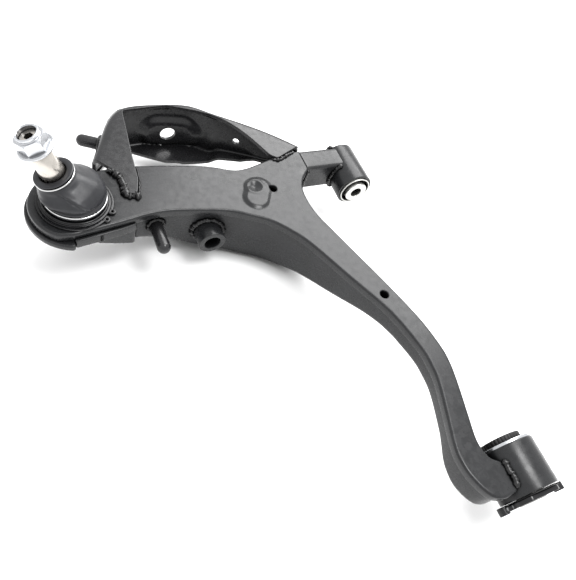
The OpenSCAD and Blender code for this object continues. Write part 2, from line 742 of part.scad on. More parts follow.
module weld_bracket_leg() color(weld) {
    bead_line = [
        at_bolt(68, -25), at_bolt(69, -8), at_ball(-65, 0), at_ball(-55, 0), at_ball(-55, -27),
        at_ball(-40, -45)
    ];
    intersection() {
        prism(band(bead_line, bead), plate_top, plate_top + bead_h);
        prism(arm_plan, plate_top, plate_top + bead_h);
    }
    difference() {
        prism([
            at_ball(-45, -56), at_ball(-31, -56), at_ball(-26, -36), at_ball(-45, -36)
        ], plate_top - skirt, plate_top);
        prism(arm_room, -far, far);
    }
}
module weld_bracket_root() color(weld) {
    intersection() {
        prism(band([[59, -34], [98, -16]], bead), plate_top, plate_top + bead_h);
        prism(inset(arm_plan, 1), plate_top, plate_top + bead_h);
    }
}
module weld_stub() color(weld) {
    low = plate_top - stub_h + sheet;
    end = stub_end_x;
    prism([
        [end - 6, stub_y], [end - air, stub_y], [end + 5, stub_y + 5 + air], [end + 3, stub_y + 7]
    ], low, plate_top - 1);
    translate([end - 4, stub_y - stub_w - bead / 2, low]) cube([8, bead / 2, plate_top - 1 - low]);
}
module weld_front_housing() color(weld) {
    intersection() {
        fillet_ring_y(front_housing_r + press, bead, stub_y);
        translate([8, -far / 2, plate_top - stub_h + 1]) cube([far, far, stub_h - 3]);
    }
}
rear_weld_end = 15;                           // its end lies this far past the rear bush's middle
module weld_rear_housing() color(weld) {
    difference() {
        translate([0, bush_spacing + rear_weld_end, 0]) rotate([90, 0, 0]) linear_extrude(rear_weld_l) polygon([
            [leg_joint_x - 5, plate_top], [leg_joint_x + bead, plate_top],
            [leg_joint_x + bead - 2, plate_top + bead_h], [leg_joint_x - 3, plate_top + bead_h + 2]
        ]);
        bar_y(rear_housing_r + press, -far, far);
    }
}
// The side wall beside the tube, with the bead's room on its outer side
tube_weld_band = band([at_bolt(-24, 46), at_bolt(24, 36)], bead + 3);
module weld_tube() color(weld) {
    difference() {
        intersection() {
            bolt_line() tube_y(tube_d / 2 + bead, tube_d / 2 + press, 0, tube_end_y);
            prism(tube_weld_band, -far, far);
        }
        prism(outer_room, -far, far);
    }
}
module weld_near_peg() color(weld) {
    difference() {
        translate([near_peg_at[0], 0, near_peg_at[1]])
            fillet_ring_y(near_peg_d / 2 + press, bead, peg_wall_y - 1);
        prism(outer_room, -far, far);
    }
}
module weld_far_peg() color(weld) {
    r = far_peg_d / 2 + press;
    on_bracket_side() rotate([0, 90, 0]) translate([0, 0, press])
        rotate_extrude() polygon([[r, 0], [r + bead - 1, 0], [r, bead - 1]]);
}

upper_shell();
lower_shell();
ball_joint_carrier();
side_strap();
front_stub();
front_bush_housing();
front_bush_outer_sleeve();
front_bush_rubber();
front_bush_inner_sleeve();
rear_bush_housing();
rear_bush_outer_sleeve();
rear_bush_rubber();
rear_bush_inner_sleeve();
rear_bush_snubber();
rear_bush_stop_plate();
ball_joint_housing();
ball_joint_cover();
ball_joint_seat();
ball_joint_circlip();
ball_stud();
stud_nut();
dust_boot();
boot_lower_clip();
boot_upper_clip();
damper_bracket();
damper_bolt_tube();
near_peg();
far_peg();
weld_bracket_leg();
weld_bracket_root();
weld_stub();
weld_front_housing();
weld_rear_housing();
weld_tube();
weld_near_peg();
weld_far_peg();
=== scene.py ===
"""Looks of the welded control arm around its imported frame. Lengths are in metres, in the row's frame."""
import json
import math

import bmesh
import bpy
import numpy as np
from mathutils import Matrix, Vector, geometry, noise
from mathutils.bvhtree import BVHTree


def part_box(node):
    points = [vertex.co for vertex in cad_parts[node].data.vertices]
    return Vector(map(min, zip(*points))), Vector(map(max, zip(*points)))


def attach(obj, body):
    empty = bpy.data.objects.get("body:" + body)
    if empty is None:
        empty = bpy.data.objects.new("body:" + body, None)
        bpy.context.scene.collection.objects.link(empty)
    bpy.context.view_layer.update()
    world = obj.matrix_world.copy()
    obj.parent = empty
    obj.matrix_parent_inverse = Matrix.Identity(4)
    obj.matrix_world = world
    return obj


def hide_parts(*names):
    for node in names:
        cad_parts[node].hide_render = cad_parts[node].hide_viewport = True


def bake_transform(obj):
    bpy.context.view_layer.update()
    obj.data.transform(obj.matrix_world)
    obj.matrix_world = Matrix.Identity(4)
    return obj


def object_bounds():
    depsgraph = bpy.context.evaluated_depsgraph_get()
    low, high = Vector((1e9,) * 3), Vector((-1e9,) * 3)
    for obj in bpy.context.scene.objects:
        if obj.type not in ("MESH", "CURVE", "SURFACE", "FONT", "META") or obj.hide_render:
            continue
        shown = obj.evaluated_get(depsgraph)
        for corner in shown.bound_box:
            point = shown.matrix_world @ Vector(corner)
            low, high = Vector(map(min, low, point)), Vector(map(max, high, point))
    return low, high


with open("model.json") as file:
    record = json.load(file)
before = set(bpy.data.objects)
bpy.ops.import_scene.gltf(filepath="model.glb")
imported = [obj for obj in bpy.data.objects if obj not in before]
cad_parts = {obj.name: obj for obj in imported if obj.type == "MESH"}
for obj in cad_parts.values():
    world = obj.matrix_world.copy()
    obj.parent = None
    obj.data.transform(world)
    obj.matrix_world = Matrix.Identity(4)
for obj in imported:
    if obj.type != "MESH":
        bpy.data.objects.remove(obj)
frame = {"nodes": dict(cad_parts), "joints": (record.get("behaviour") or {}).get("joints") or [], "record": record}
cad_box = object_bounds()
noise.seed_set(1)  # without it noise_vector starts from the clock
MM = 0.001
JOINTS = {joint["name"]: joint for joint in frame["joints"]}
MOUNTS = {mount["name"]: mount for mount in frame["record"]["mounts"]}

# ---- places and sizes ----

SHEET = 4 * MM  # sheet thickness of every pressing
WALL_ROWS = (SHEET - 0.03 * MM, SHEET + 0.03 * MM)  # rows of points on both sides of a wall's inner face
PLATE_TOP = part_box("damper_bracket")[1].z - SHEET  # the bracket's top flange lies on the top plate
PLATE_MID = PLATE_TOP - SHEET / 2
BALL = Vector(JOINTS["stud_tilt"]["pos_m"])
STUD_AXIS = Vector(JOINTS["stud_spin"]["axis"]).normalized()
BOLT = Vector(MOUNTS["damper_bolt_bore"]["pos_m"])
BOLT_R = MOUNTS["damper_bolt_bore"]["dims"]["r_mm"] * MM
PEG = Vector(MOUNTS["near_peg"]["pos_m"])
PEG_R = MOUNTS["near_peg"]["dims"]["r_mm"] * MM
FAR_PEG = Vector(MOUNTS["far_peg"]["pos_m"])
FAR_PEG_R = MOUNTS["far_peg"]["dims"]["r_mm"] * MM
FAR_PEG_AXIS = Vector(MOUNTS["far_peg"]["axis"]).normalized()
X, Y, Z = Vector((1, 0, 0)), Vector((0, 1, 0)), Vector((0, 0, 1))
ORIGIN = Vector((0, 0, 0))  # the front bush's centre, on the pivot line


def outer_radius(node, axis, origin=ORIGIN):
    """Largest distance of a CAD node's points from an axis."""
    origin, axis = Vector(origin), Vector(axis)
    return max(axis.cross(v.co - origin).length for v in frame["nodes"][node].data.vertices)


def inner_radius(node, axis, origin=ORIGIN):
    """Smallest distance of a CAD node's points from an axis."""
    origin, axis = Vector(origin), Vector(axis)
    return min(axis.cross(v.co - origin).length for v in frame["nodes"][node].data.vertices)


# ---- outlines ----

PLANES = {"Z": (0, 1, 2), "Y": (2, 0, 1)}          # the two axes of a plane, and the one across it


def section(node, height, up="Z"):
    """Closed outlines of a CAD node at a height, anticlockwise, the largest first."""
    i, j, k = PLANES[up]
    bm = bmesh.new()
    bm.from_mesh(frame["nodes"][node].data)
    bmesh.ops.remove_doubles(bm, verts=bm.verts, dist=1e-6)
    at, normal = Vector(), Vector()
    at[k], normal[k] = height, 1
    parts = [*bm.verts, *bm.edges, *bm.faces]
    cut = bmesh.ops.bisect_plane(bm, geom=parts, plane_co=at, plane_no=normal)["geom_cut"]
    near = {}
    for edge in (part for part in cut if isinstance(part, bmesh.types.BMEdge)):
        a, b = edge.verts
        near.setdefault(a, []).append(b)
        near.setdefault(b, []).append(a)
    loops = []
    while near:
        loop, here = [], next(iter(near))
        while near.get(here):
            after = near[here].pop()
            near[after].remove(here)
            loop.append((here.co[i], here.co[j]))
            here = after
        near = {vert: others for vert, others in near.items() if others}
        loops.append(np.array(loop))
    bm.free()
    loops = [loop if area(loop) > 0 else loop[::-1] for loop in loops if len(loop) > 2]
    return sorted(loops, key=area, reverse=True)


def area(loop):
    """Signed area of an outline, positive when it runs anticlockwise."""
    x, y = loop.T
    return (x * np.roll(y, -1) - y * np.roll(x, -1)).sum() / 2


def spread(line, count):
    """The same open line as a set number of points, even along its length."""
    reach = np.concatenate([[0], np.cumsum(np.linalg.norm(np.diff(line, axis=0), axis=1))])
    at = np.linspace(0, reach[-1], count)
    return np.stack([np.interp(at, reach, line[:, c]) for c in range(line.shape[1])], 1)


def resampled(points, pitch, closed=True):
    """The same line with points about a pitch apart."""
    line = np.vstack([points, points[:1]]) if closed else points
    length = np.cumsum(np.linalg.norm(np.diff(line, axis=0), axis=1))[-1]
    even = spread(line, max(int(length / pitch), 3) + 1)
    return even[:-1] if closed else even


def softened(points, passes, closed=True):
    """The line with its corners rounded, a little more with each pass."""
    for _ in range(passes):
        mid = (np.roll(points, 1, axis=0) + 2 * points + np.roll(points, -1, axis=0)) / 4
        if not closed:
            mid[0], mid[-1] = points[0], points[-1]
        points = mid
    return points


def outline(node, height, pitch=1.6 * MM, passes=6, up="Z"):
    """A CAD node's largest outline at a height, with its corners softened."""
    return softened(resampled(section(node, height, up)[0], pitch), passes)


def circle(x, y, r, pitch=1.2 * MM):
    count = max(int(math.tau * r / pitch), 24)
    turn = np.arange(count) * math.tau / count
    return np.stack([x + r * np.cos(turn), y + r * np.sin(turn)], 1)


def gaps(points, loop, closed=True):
    """Distance of each point from a line."""
    a = loop if closed else loop[:-1]
    b = np.roll(loop, -1, axis=0) if closed else loop[1:]
    way = b - a
    found = []
    for part in np.array_split(points, max(len(points) // 1500, 1)):
        off = part[:, None] - a[None]
        t = np.clip((off * way).sum(2) / np.maximum((way * way).sum(1), 1e-18), 0, 1)
        found.append(np.sqrt(((off - t[..., None] * way) ** 2).sum(2).min(1)))
    return np.concatenate(found)


def inside(points, loops):
    """Which points lie inside the first outline and outside the others."""
    odd = np.zeros(len(points), bool)
    x, y = points[:, :1], points[:, 1:]
    for loop in loops:
        (x0, y0), (x1, y1) = loop.T, np.roll(loop, -1, axis=0).T
        crosses = (y0 > y) != (y1 > y)
        at = x0 + (y - y0) * (x1 - x0) / np.where(y1 == y0, 1e-12, y1 - y0)
        odd ^= (crosses & (x < at)).sum(1) % 2 == 1
    return odd


def runs(mask):
    """Stretches of a closed line where the mask holds, as lists of indices, the longest first."""
    first = int(np.argmin(mask))
    found, current = [], []
    for k in range(first, first + len(mask)):
        if mask[k % len(mask)]:
            current.append(k % len(mask))
        elif current:
            found.append(current)
            current = []
    if current:
        found.append(current)
    return sorted(found, key=len, reverse=True)


def row_inside(loop, d):
    """Points at distance d to the left of an outline, without those that come nearer to another stretch."""
    way = np.roll(loop, -1, axis=0) - np.roll(loop, 1, axis=0)
    left = np.stack([-way[:, 1], way[:, 0]], 1) / np.linalg.norm(way, axis=1)[:, None]
    points = loop + d * left
    return points[gaps(points, loop) > 0.97 * abs(d)]


def staggered(low, high, pitch):
    """Grid of points over a rectangle, with every second row moved half a step."""
    x, y = np.meshgrid(np.arange(low[0], high[0], pitch), np.arange(low[1], high[1], pitch))
    x[1::2] += pitch / 2
    return np.stack([x.ravel(), y.ravel()], 1)


def filled(outer, holes, rows, pitch, dense=None):
    """Points and triangles that fill an outline, with extra rows of points at given distances inside it.

    dense is an optional (centre, radius, pitch) of a round patch with a finer grid."""
    loops = [outer, *holes]
    points, edges = [], []
    for loop in loops:
        first, count = sum(map(len, points)), len(loop)
        edges += [(first + k, first + (k + 1) % count) for k in range(count)]
        points.append(loop)
    low, high = outer.min(0), outer.max(0)
    grid = staggered(low, high, pitch)
    if dense:
        centre, reach, fine = np.array(dense[0]), dense[1], dense[2]
        patch = staggered(centre - reach, centre + reach, fine)
        grid = np.concatenate([grid[np.linalg.norm(grid - centre, axis=1) > reach],
                               patch[np.linalg.norm(patch - centre, axis=1) < reach]])
    grid = grid[inside(grid, loops)]
    clear = max([*rows, 0]) + 0.6 * pitch
    grid = grid[np.min([gaps(grid, loop) for loop in loops], axis=0) > clear]
    extra = [row_inside(outer, d) for d in rows] + [row_inside(hole, -d) for hole in holes for d in rows]
    extra = [row[inside(row, loops)] for row in extra if len(row)]
    flat = np.concatenate([*points, *extra, grid]) / MM
    verts, _, faces, *_ = geometry.delaunay_2d_cdt([Vector(p) for p in flat], edges, [], 0, 1e-4)
    flat = np.array([tuple(v) for v in verts]) * MM
    faces = np.array(faces)
    faces = faces[inside(flat[faces].mean(1), loops)]
    a, b, c = (flat[faces[:, k]] for k in range(3))
    turn = (b[:, 0] - a[:, 0]) * (c[:, 1] - a[:, 1]) - (b[:, 1] - a[:, 1]) * (c[:, 0] - a[:, 0])
    faces[turn < 0] = faces[turn < 0][:, ::-1]
    return flat, faces[np.abs(turn) > 1e-14]


def slab(outer, holes, rows, pitch, top, bottom, up="Z", dense=None):
    """A closed solid over an outline; top and bottom give heights from points and their edge distances."""
    flat, faces = filled(outer, holes, rows, pitch, dense)
    edge = np.min([gaps(flat, loop) for loop in [outer, *holes]], axis=0)
    count = len(flat)
    verts = np.empty((2 * count, 3))
    i, j, k = PLANES[up]
    verts[:, i], verts[:, j] = np.tile(flat[:, 0], 2), np.tile(flat[:, 1], 2)
    verts[:, k] = np.concatenate([top(flat, edge), bottom(flat, edge)])
    ways = {(int(t[m]), int(t[(m + 1) % 3])) for t in faces for m in range(3)}
    rim = [(a, b) for a, b in ways if (b, a) not in ways]
    walls = [(a + count, b + count, b, a) for a, b in sorted(rim)]
    upper = [tuple(t) for t in faces.tolist()]
    lower = [tuple(corner + count for corner in reversed(t)) for t in upper]
    return verts, upper + lower + walls


def plate(outer, holes, low, high, r, steps, pitch, up="Z"):
    """A flat plate between two heights, with both its edges rolled."""
    return slab(outer, holes, roll_rows(r, steps), pitch,
                lambda p, e: high - roll(e, r), lambda p, e: low + roll(e, r), up)


def roll(edge, r):
    """How far an edge rounded with radius r falls, at a distance from it."""
    return r - np.sqrt(np.maximum(r * r - np.maximum(r - edge, 0) ** 2, 0))


def roll_rows(r, steps=6):
    """Distances from the edge at which a rolled edge needs rows of points."""
    return [r * (1 - math.cos(k / steps * math.pi / 2)) for k in range(1, steps + 1)]


def ease(t):
    """Smooth step from 0 to 1."""
    t = np.clip(t, 0, 1)
    return t * t * (3 - 2 * t)


def tree_of(node):
    data = frame["nodes"][node].data
    polygons = [tuple(p.vertices) for p in data.polygons]
    return BVHTree.FromPolygons([v.co.copy() for v in data.vertices], polygons)


def underside(node, blur=4 * MM):
    """A function that gives the smoothed height of a CAD node's underside."""
    tree = tree_of(node)
    start = cad_box[0].z - 100 * MM

    def height(points, reach):
        found = []
        for dx in (-reach, 0, reach):
            for dy in (-reach, 0, reach):
                hits = [tree.ray_cast(Vector((x + dx, y + dy, start)), Z)[0] for x, y in points]
                found.append([math.nan if hit is None else hit.z for hit in hits])
        found = np.array(found)
        known = ~np.isnan(found)
        total = np.where(known, found, 0).sum(0)
        return np.where(known.any(0), total / np.maximum(known.sum(0), 1), math.nan)

    def smooth(points):
        z = height(points, blur)
        lost = np.isnan(z)
        if lost.any():
            z[lost] = height(points[lost], 3 * blur)
        return z
    return smooth


# ---- turned shapes ----

def fillets(profile, r, closed=True, steps=4):
    """The profile with its corners rounded, where a corner is (radius, height)."""
    points = [Vector(p[:2]) for p in profile]
    out, count = [], len(points)
    for k, p in enumerate(points):
        if not closed and k in (0, count - 1):
            out.append(tuple(p))
            continue
        before, after = points[k - 1] - p, points[(k + 1) % count] - p
        cut = min(r, 0.45 * before.length, 0.45 * after.length)
        a, b = p + before.normalized() * cut, p + after.normalized() * cut
        for m in range(steps + 1):
            t = m / steps
            out.append(tuple(a * (1 - t) ** 2 + p * 2 * t * (1 - t) + b * t * t))
    return out


def turned(profile, origin, axis, segments=128, closed=True, shape=None):
    """A solid of revolution; shape may change radius and height at each angle, and r of 0 meets the axis."""
    axis = Vector(axis).normalized()
    side = axis.cross(X if abs(axis.x) < 0.9 else Y).normalized()
    across = axis.cross(side)
    verts, rows = [], []
    for r, h in profile:
        if r < 1e-7:
            rows.append([len(verts)])
            verts.append(Vector(origin) + axis * h)
            continue
        rows.append(list(range(len(verts), len(verts) + segments)))
        for k in range(segments):
            a = math.tau * k / segments
            r2, h2 = shape(r, h, a) if shape else (r, h)
            verts.append(Vector(origin) + axis * h2 + (side * math.cos(a) + across * math.sin(a)) * r2)
    faces = []
    for k in range(len(rows) if closed else len(rows) - 1):
        low, high = rows[k], rows[(k + 1) % len(rows)]
        for m in range(segments):
            n = (m + 1) % segments
            if len(low) == 1 and len(high) > 1:
                faces.append((low[0], high[n], high[m]))
            elif len(high) == 1 and len(low) > 1:
                faces.append((low[m], low[n], high[0]))
            elif len(low) > 1:
                faces.append((low[m], low[n], high[n], high[m]))
    return verts, faces


def ring_profile(r_in, r_out, low, high, corner):
    return fillets([(r_in, low), (r_out, low), (r_out, high), (r_in, high)], corner)


def hexagon(across_flats, angle):
    """Distance from a hexagon's centre to its side, at an angle."""
    fold = (angle + math.pi / 6) % (math.pi / 3) - math.pi / 6
    return across_flats / 2 / math.cos(fold)


def grid_faces(rows, sides, closed=False):
    """Quads between neighbouring rings of points; closed also joins the last ring to the first."""
    faces = []
    for k in range(rows if closed else rows - 1):
        for m in range(sides):
            n, after = (m + 1) % sides, (k + 1) % rows * sides
            faces.append((k * sides + m, k * sides + n, after + n, after + m))
    return faces


def swept(path, radius, lumps, seed, sides=14):
    """A bead along a path of points, with its surface rippled and lumpy as a weld's."""
    points = [Vector(p) for p in path]
    verts = []
    for k, p in enumerate(points):
        way = (points[min(k + 1, len(points) - 1)] - points[max(k - 1, 0)]).normalized()
        side = way.cross(Z if abs(way.z) < 0.9 else Y).normalized()
        over = side.cross(way)
        end = min(k, len(points) - 1 - k)
        close = math.sqrt(min(1.0, (end + 0.15) / 3))
        for m in range(sides):
            a = math.tau * m / sides
            spot = p * 900 + Vector((seed, math.cos(a), math.sin(a)))
            ripple = 1 + lumps * (0.35 * math.sin(k * 1.9 + math.cos(a)) + noise.noise(spot * 0.35) * 1.6)
            r = radius * ripple * close
            verts.append(p + side * math.cos(a) * r + over * math.sin(a) * r)
    last = (len(points) - 1) * sides
    ends = [tuple(range(sides - 1, -1, -1)), tuple(range(last, last + sides))]
    return verts, grid_faces(len(points), sides) + ends


def piece(name, shape, body, material, stands_for=(), sharp=38):
    """A finished piece from (verts, faces), smooth except at sharp corners."""
    verts, faces = shape
    mesh = bpy.data.meshes.new(name)
    mesh.from_pydata([tuple(v) for v in verts], [], [tuple(f) for f in faces])
    mesh.validate()
    bm = bmesh.new()
    bm.from_mesh(mesh)
    bmesh.ops.remove_doubles(bm, verts=bm.verts, dist=1e-7)
    bmesh.ops.recalc_face_normals(bm, faces=bm.faces)
    bm.to_mesh(mesh)
    bm.free()
    mesh.shade_smooth()
    mesh.set_sharp_from_angle(angle=math.radians(sharp))
    made = bpy.data.objects.new(name, mesh)
    bpy.context.scene.collection.objects.link(made)
    mesh.materials.append(material)
    if body:
        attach(made, body)
    if stands_for:
        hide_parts(*stands_for)
    return made


# ---- materials ----

PAINTED_SHADE_REACH = 22 * MM  # painted shade: corners narrower than this are painted darker
PAINTED_SHADE_RANGE = (0.35, 0.85)  # open share of the surroundings, from darkest painted shade to full colour
PAINTED_SHADE_KEEP = 0.3  # how much of the base colour the painted shade leaves in a corner
WEAR_RANGE = (0.53, 0.64)  # pointiness from which an edge is worn, and fully worn
DUST = (0.45, 0.45, 0.45)


class Nodes:
    """Short ways to grow a material's node tree."""

    def __init__(self, tree):
        self.tree = tree
        self.place = self.add("ShaderNodeTexCoord").outputs["Object"]

    def add(self, kind, **values):
        made = self.tree.nodes.new(kind)
        for key, value in values.items():
            if hasattr(made, key):
                setattr(made, key, value)
            else:
                made.inputs[key.replace("_", " ")].default_value = value
        return made

    def link(self, a, b):
        self.tree.links.new(a, b)

    def texture(self, kind, output, **values):
        made = self.add(kind, **values)
        self.link(self.place, made.inputs["Vector"])
        return made.outputs[output]

    def noise(self, scale, detail):
        return self.texture("ShaderNodeTexNoise", "Fac", Scale=scale, Detail=detail)

    def ramp(self, value, low, high, a, b):
        made = self.add("ShaderNodeMapRange", From_Min=low, From_Max=high, To_Min=a, To_Max=b)
        self.link(value, made.inputs["Value"])
        return made.outputs["Result"]

    def mixed(self, fac, a, b):
        made = self.add("ShaderNodeMix", data_type="RGBA")
        self.link(fac, made.inputs["Factor"])
        for socket, value in ((made.inputs[6], a), (made.inputs[7], b)):
            if isinstance(value, tuple):
                socket.default_value = (*value, 1)
            else:
                self.link(value, socket)
        return made.outputs[2]


def coloured(nodes, base, mottle, worn, spots):
    """Mottled base colour with worn edges and specks of dust."""
    dark, light = (tuple(c * (1 + way * mottle) for c in base) for way in (-1, 1))
    colour = nodes.mixed(nodes.ramp(nodes.noise(45.0, 4.0), 0.35, 0.65, 0, 1), dark, light)
    if worn:
        edge = nodes.add("ShaderNodeNewGeometry").outputs["Pointiness"]
        colour = nodes.mixed(nodes.ramp(edge, *WEAR_RANGE, 0, 0.5), colour, worn)
    if spots:
        speck = nodes.texture("ShaderNodeTexVoronoi", "Distance", Scale=420.0)
        colour = nodes.mixed(nodes.ramp(speck, 0.02, 0.07, spots, 0), colour, DUST)
    return colour


def relief(nodes, grain, bump, rings):
    """Fine grain, with turned rings around an axis where there are any."""
    height = nodes.noise(grain, 3.0)
    if rings:
        wave = nodes.texture("ShaderNodeTexWave", "Fac", wave_type="RINGS", rings_direction=rings,
                             Scale=420.0, Distortion=1.2, Detail=2.0)
        total = nodes.add("ShaderNodeMath", operation="ADD")
        nodes.link(height, total.inputs[0])
        nodes.link(wave, total.inputs[1])
        height = total.outputs[0]
    made = nodes.add("ShaderNodeBump", Strength=1.0, Distance=bump * MM)
    nodes.link(height, made.inputs["Height"])
    return made.outputs["Normal"]


def surface(name, base, rough, metallic=0.0, worn=None, mottle=0.15, grain=900.0, bump=0.03, rings=None,
            spots=0.0, rough_spread=0.08, ior=1.5):
    """A procedural material with painted shade, darker and less shiny in corners, and with an uneven gloss."""
    material = bpy.data.materials.new(name)
    material.use_nodes = True
    nodes = Nodes(material.node_tree)
    shader = material.node_tree.nodes["Principled BSDF"].inputs
    shader["Metallic"].default_value = metallic
    shader["IOR"].default_value = ior
    # Painted shade: ambient occlusion darkens the base colour in corners, gaps and under parts, where shade falls.
    painted_shade_ao = nodes.add("ShaderNodeAmbientOcclusion", Distance=PAINTED_SHADE_REACH).outputs["AO"]
    colour = coloured(nodes, base, mottle, worn, spots)
    painted_shade_colour = nodes.mixed(nodes.ramp(painted_shade_ao, *PAINTED_SHADE_RANGE, 0, 1), tuple(c * PAINTED_SHADE_KEEP for c in base), colour)
    nodes.link(painted_shade_colour, shader["Base Color"])
    # Painted shade: the reflection is also weakened in corners.
    if metallic < 0.5:
        nodes.link(nodes.ramp(painted_shade_ao, *PAINTED_SHADE_RANGE, 0.08, 0.5), shader["Specular IOR Level"])
    gloss = nodes.ramp(nodes.noise(160.0, 6.0), 0.3, 0.7, rough - rough_spread, rough + rough_spread)
    nodes.link(gloss, shader["Roughness"])
    nodes.link(relief(nodes, grain, bump, rings), shader["Normal"])
    return material


PAINT = surface("black_paint", (0.013, 0.0135, 0.0145), 0.27, worn=(0.06, 0.06, 0.06), bump=0.012,
                grain=700.0, spots=0.12, ior=1.38)
BRACKET_PAINT = surface("bracket_paint", (0.012, 0.012, 0.013), 0.25, worn=(0.06, 0.06, 0.06), bump=0.010,
                        grain=700.0, spots=0.08, ior=1.42)
WELD = surface("painted_weld", (0.006, 0.006, 0.0065), 0.16, worn=(0.03, 0.03, 0.03), bump=0.12,
               grain=1500.0, rough_spread=0.10, ior=1.45)
JOINT = surface("joint_coating", (0.007, 0.007, 0.008), 0.20, worn=(0.05, 0.05, 0.05), bump=0.008, ior=1.40)
ZINC = surface("zinc_plating", (0.50, 0.51, 0.53), 0.24, metallic=0.9, mottle=0.06, bump=0.008, grain=2500.0)
ZINC_RINGS = surface("zinc_turned", (0.50, 0.50, 0.48), 0.28, metallic=0.85, mottle=0.06, bump=0.006,
                     grain=2500.0, rings="Y")
STEEL = surface("stud_steel", (0.52, 0.49, 0.45), 0.22, metallic=0.95, mottle=0.08, bump=0.010, rings="Z")
WIRE = surface("clip_wire", (0.60, 0.60, 0.60), 0.16, metallic=1.0, mottle=0.06, bump=0.01, grain=4000.0)
BOOT = surface("boot_rubber", (0.014, 0.0145, 0.017), 0.38, mottle=0.2, bump=0.03, grain=1800.0, ior=1.42)
BUSH = surface("bush_rubber", (0.008, 0.008, 0.0085), 0.5, mottle=0.3, bump=0.06, grain=1600.0, ior=1.4)
SEAT = surface("seat_plastic", (0.55, 0.55, 0.50), 0.35, mottle=0.05, bump=0.01)

# ---- the pressings ----

TOP_ROLL = 3.0 * MM  # radius of the upper pressing's rolled edge
LIP_ROLL = 1.0 * MM  # and of the raw edges of a wall
HOLE_ROLL = 1.3 * MM
LOCATING_HOLE_MAX = 20 * MM  # holes narrower than this have a rolled rim
SKIRT_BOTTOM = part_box("upper_shell")[0].z
JOINT_HOLE_R = 34.2 * MM
PAD = Vector((142, 31)) * MM  # raised pad on the top plate
PAD_TURN = math.radians(60)
PAD_HALF = 9 * MM  # half of its straight length
PAD_R = 17.5 * MM
PAD_HEIGHT = 2.4 * MM
PAD_RAMP = 7 * MM
DIMPLE = Vector((143, 22)) * MM
DIMPLE_R = 10 * MM
DIMPLE_DEPTH = 3 * MM
DIMPLE_RIM = 0.6 * MM
DIMPLE_RIM_WIDTH = 4 * MM


def holes_in(node, height, smallest=2 * MM):
    """Round holes of a CAD plate at a height, as centre and radius."""
    found = []
    for loop in section(node, height)[1:]:
        centre = loop.mean(0)
        r = np.linalg.norm(loop - centre, axis=1)
        if r.std() < 0.05 * r.mean() and r.mean() > smallest:
            found.append((centre, float(r.mean())))
    return found


def capsule(points, centre, turn, half):
    """Distance of points from a straight stretch of a given half length."""
    way = np.array([math.cos(turn), math.sin(turn)])
    off = points - np.array(centre)
    along = np.clip(off @ way, -half, half)
    return np.linalg.norm(off - along[:, None] * way, axis=1)


def pad_height(points):
    """Height of the raised pad and its dimple above the top plate."""
    far = capsule(points, PAD, PAD_TURN, PAD_HALF)
    raised = PAD_HEIGHT * ease((PAD_R - far) / PAD_RAMP)
    dish = np.linalg.norm(points - np.array(DIMPLE), axis=1)
    rim = DIMPLE_RIM * ease(1 - np.abs(dish - DIMPLE_R) / DIMPLE_RIM_WIDTH)
    return raised + rim - DIMPLE_DEPTH * ease((DIMPLE_R - dish) / DIMPLE_R)


def upper_pressing():
    """Top plate with its pad, dimple and holes, and the skirt around it."""
    outer = outline("upper_shell", PLATE_MID)
    holes = [circle(*centre, r) for centre, r in holes_in("upper_shell", PLATE_MID)]
    small = [hole for hole in holes if np.ptp(hole[:, 0]) < LOCATING_HOLE_MAX]

    def top(points, _edge):
        z = PLATE_TOP + pad_height(points) - roll(gaps(points, outer), TOP_ROLL)
        for hole in small:
            z -= roll(gaps(points, hole), HOLE_ROLL)
        return z

    def bottom(points, _edge):
        edge = gaps(points, outer)
        skirt = SKIRT_BOTTOM + roll(edge, LIP_ROLL) + roll(np.maximum(SHEET - edge, 0), LIP_ROLL)
        return np.where(edge < SHEET, skirt, PLATE_TOP - SHEET + pad_height(points))
    rows = [*roll_rows(LIP_ROLL, 3), *roll_rows(TOP_ROLL), *WALL_ROWS]
    fine = (PAD, PAD_HALF + PAD_R + DIMPLE_RIM_WIDTH, 1.1 * MM)
    shape = slab(outer, holes, rows, 3.2 * MM, top, bottom, dense=fine)
    piece("upper_pressing", shape, "arm", PAINT, ["upper_shell"])


def lower_outline():
    """The lower pressing's plan: the outer faces of its two side walls, joined across the open ends."""
    upper = outline("upper_shell", PLATE_MID)
    inset = SHEET + 2 * MM
    sides = []
    for wall in section("lower_shell", 0)[:2]:
        wall = resampled(wall, 1.6 * MM)
        side = wall[runs(gaps(wall, upper) < inset)[0]]
        sides.append(softened(side, 6, closed=False))
    return resampled(np.concatenate(sides), 1.6 * MM)


def lower_pressing():
    """Side walls and bottom of the box section, in one piece."""
    bottom_roll = 9 * MM
    outer = lower_outline()
    floor = underside("lower_shell")
    top_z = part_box("lower_shell")[1].z

    def bottom(points, edge):
        return floor(points) + roll(edge, bottom_roll)

    def top(points, edge):
        inner = floor(points) + SHEET + roll(np.maximum(edge - SHEET, 0), bottom_roll - SHEET)
        return np.where(edge < SHEET, top_z - roll(edge, LIP_ROLL), inner)
    rows = [*roll_rows(LIP_ROLL, 2), *roll_rows(bottom_roll, 7), *WALL_ROWS]
    shape = slab(outer, [], rows, 5 * MM, top, bottom)
    piece("lower_pressing", shape, "arm", PAINT, ["lower_shell"])


def carrier():
    """The thick plate under the ball joint, with its rounded rim."""
    rim_roll = 2.2 * MM
    height = 7 * MM
    outer = outline("ball_joint_carrier", height)
    hole = circle(BALL.x, BALL.y, JOINT_HOLE_R)
    floor = underside("ball_joint_carrier", 2 * MM)
    top_z = SKIRT_BOTTOM - 0.3 * MM
    shape = slab(outer, [hole], roll_rows(rim_roll), 4 * MM,
                 lambda p, e: top_z - roll(gaps(p, outer), rim_roll),
                 lambda p, e: floor(p) + roll(gaps(p, outer), rim_roll))
    piece("carrier_plate", shape, "arm", PAINT, ["ball_joint_carrier"])


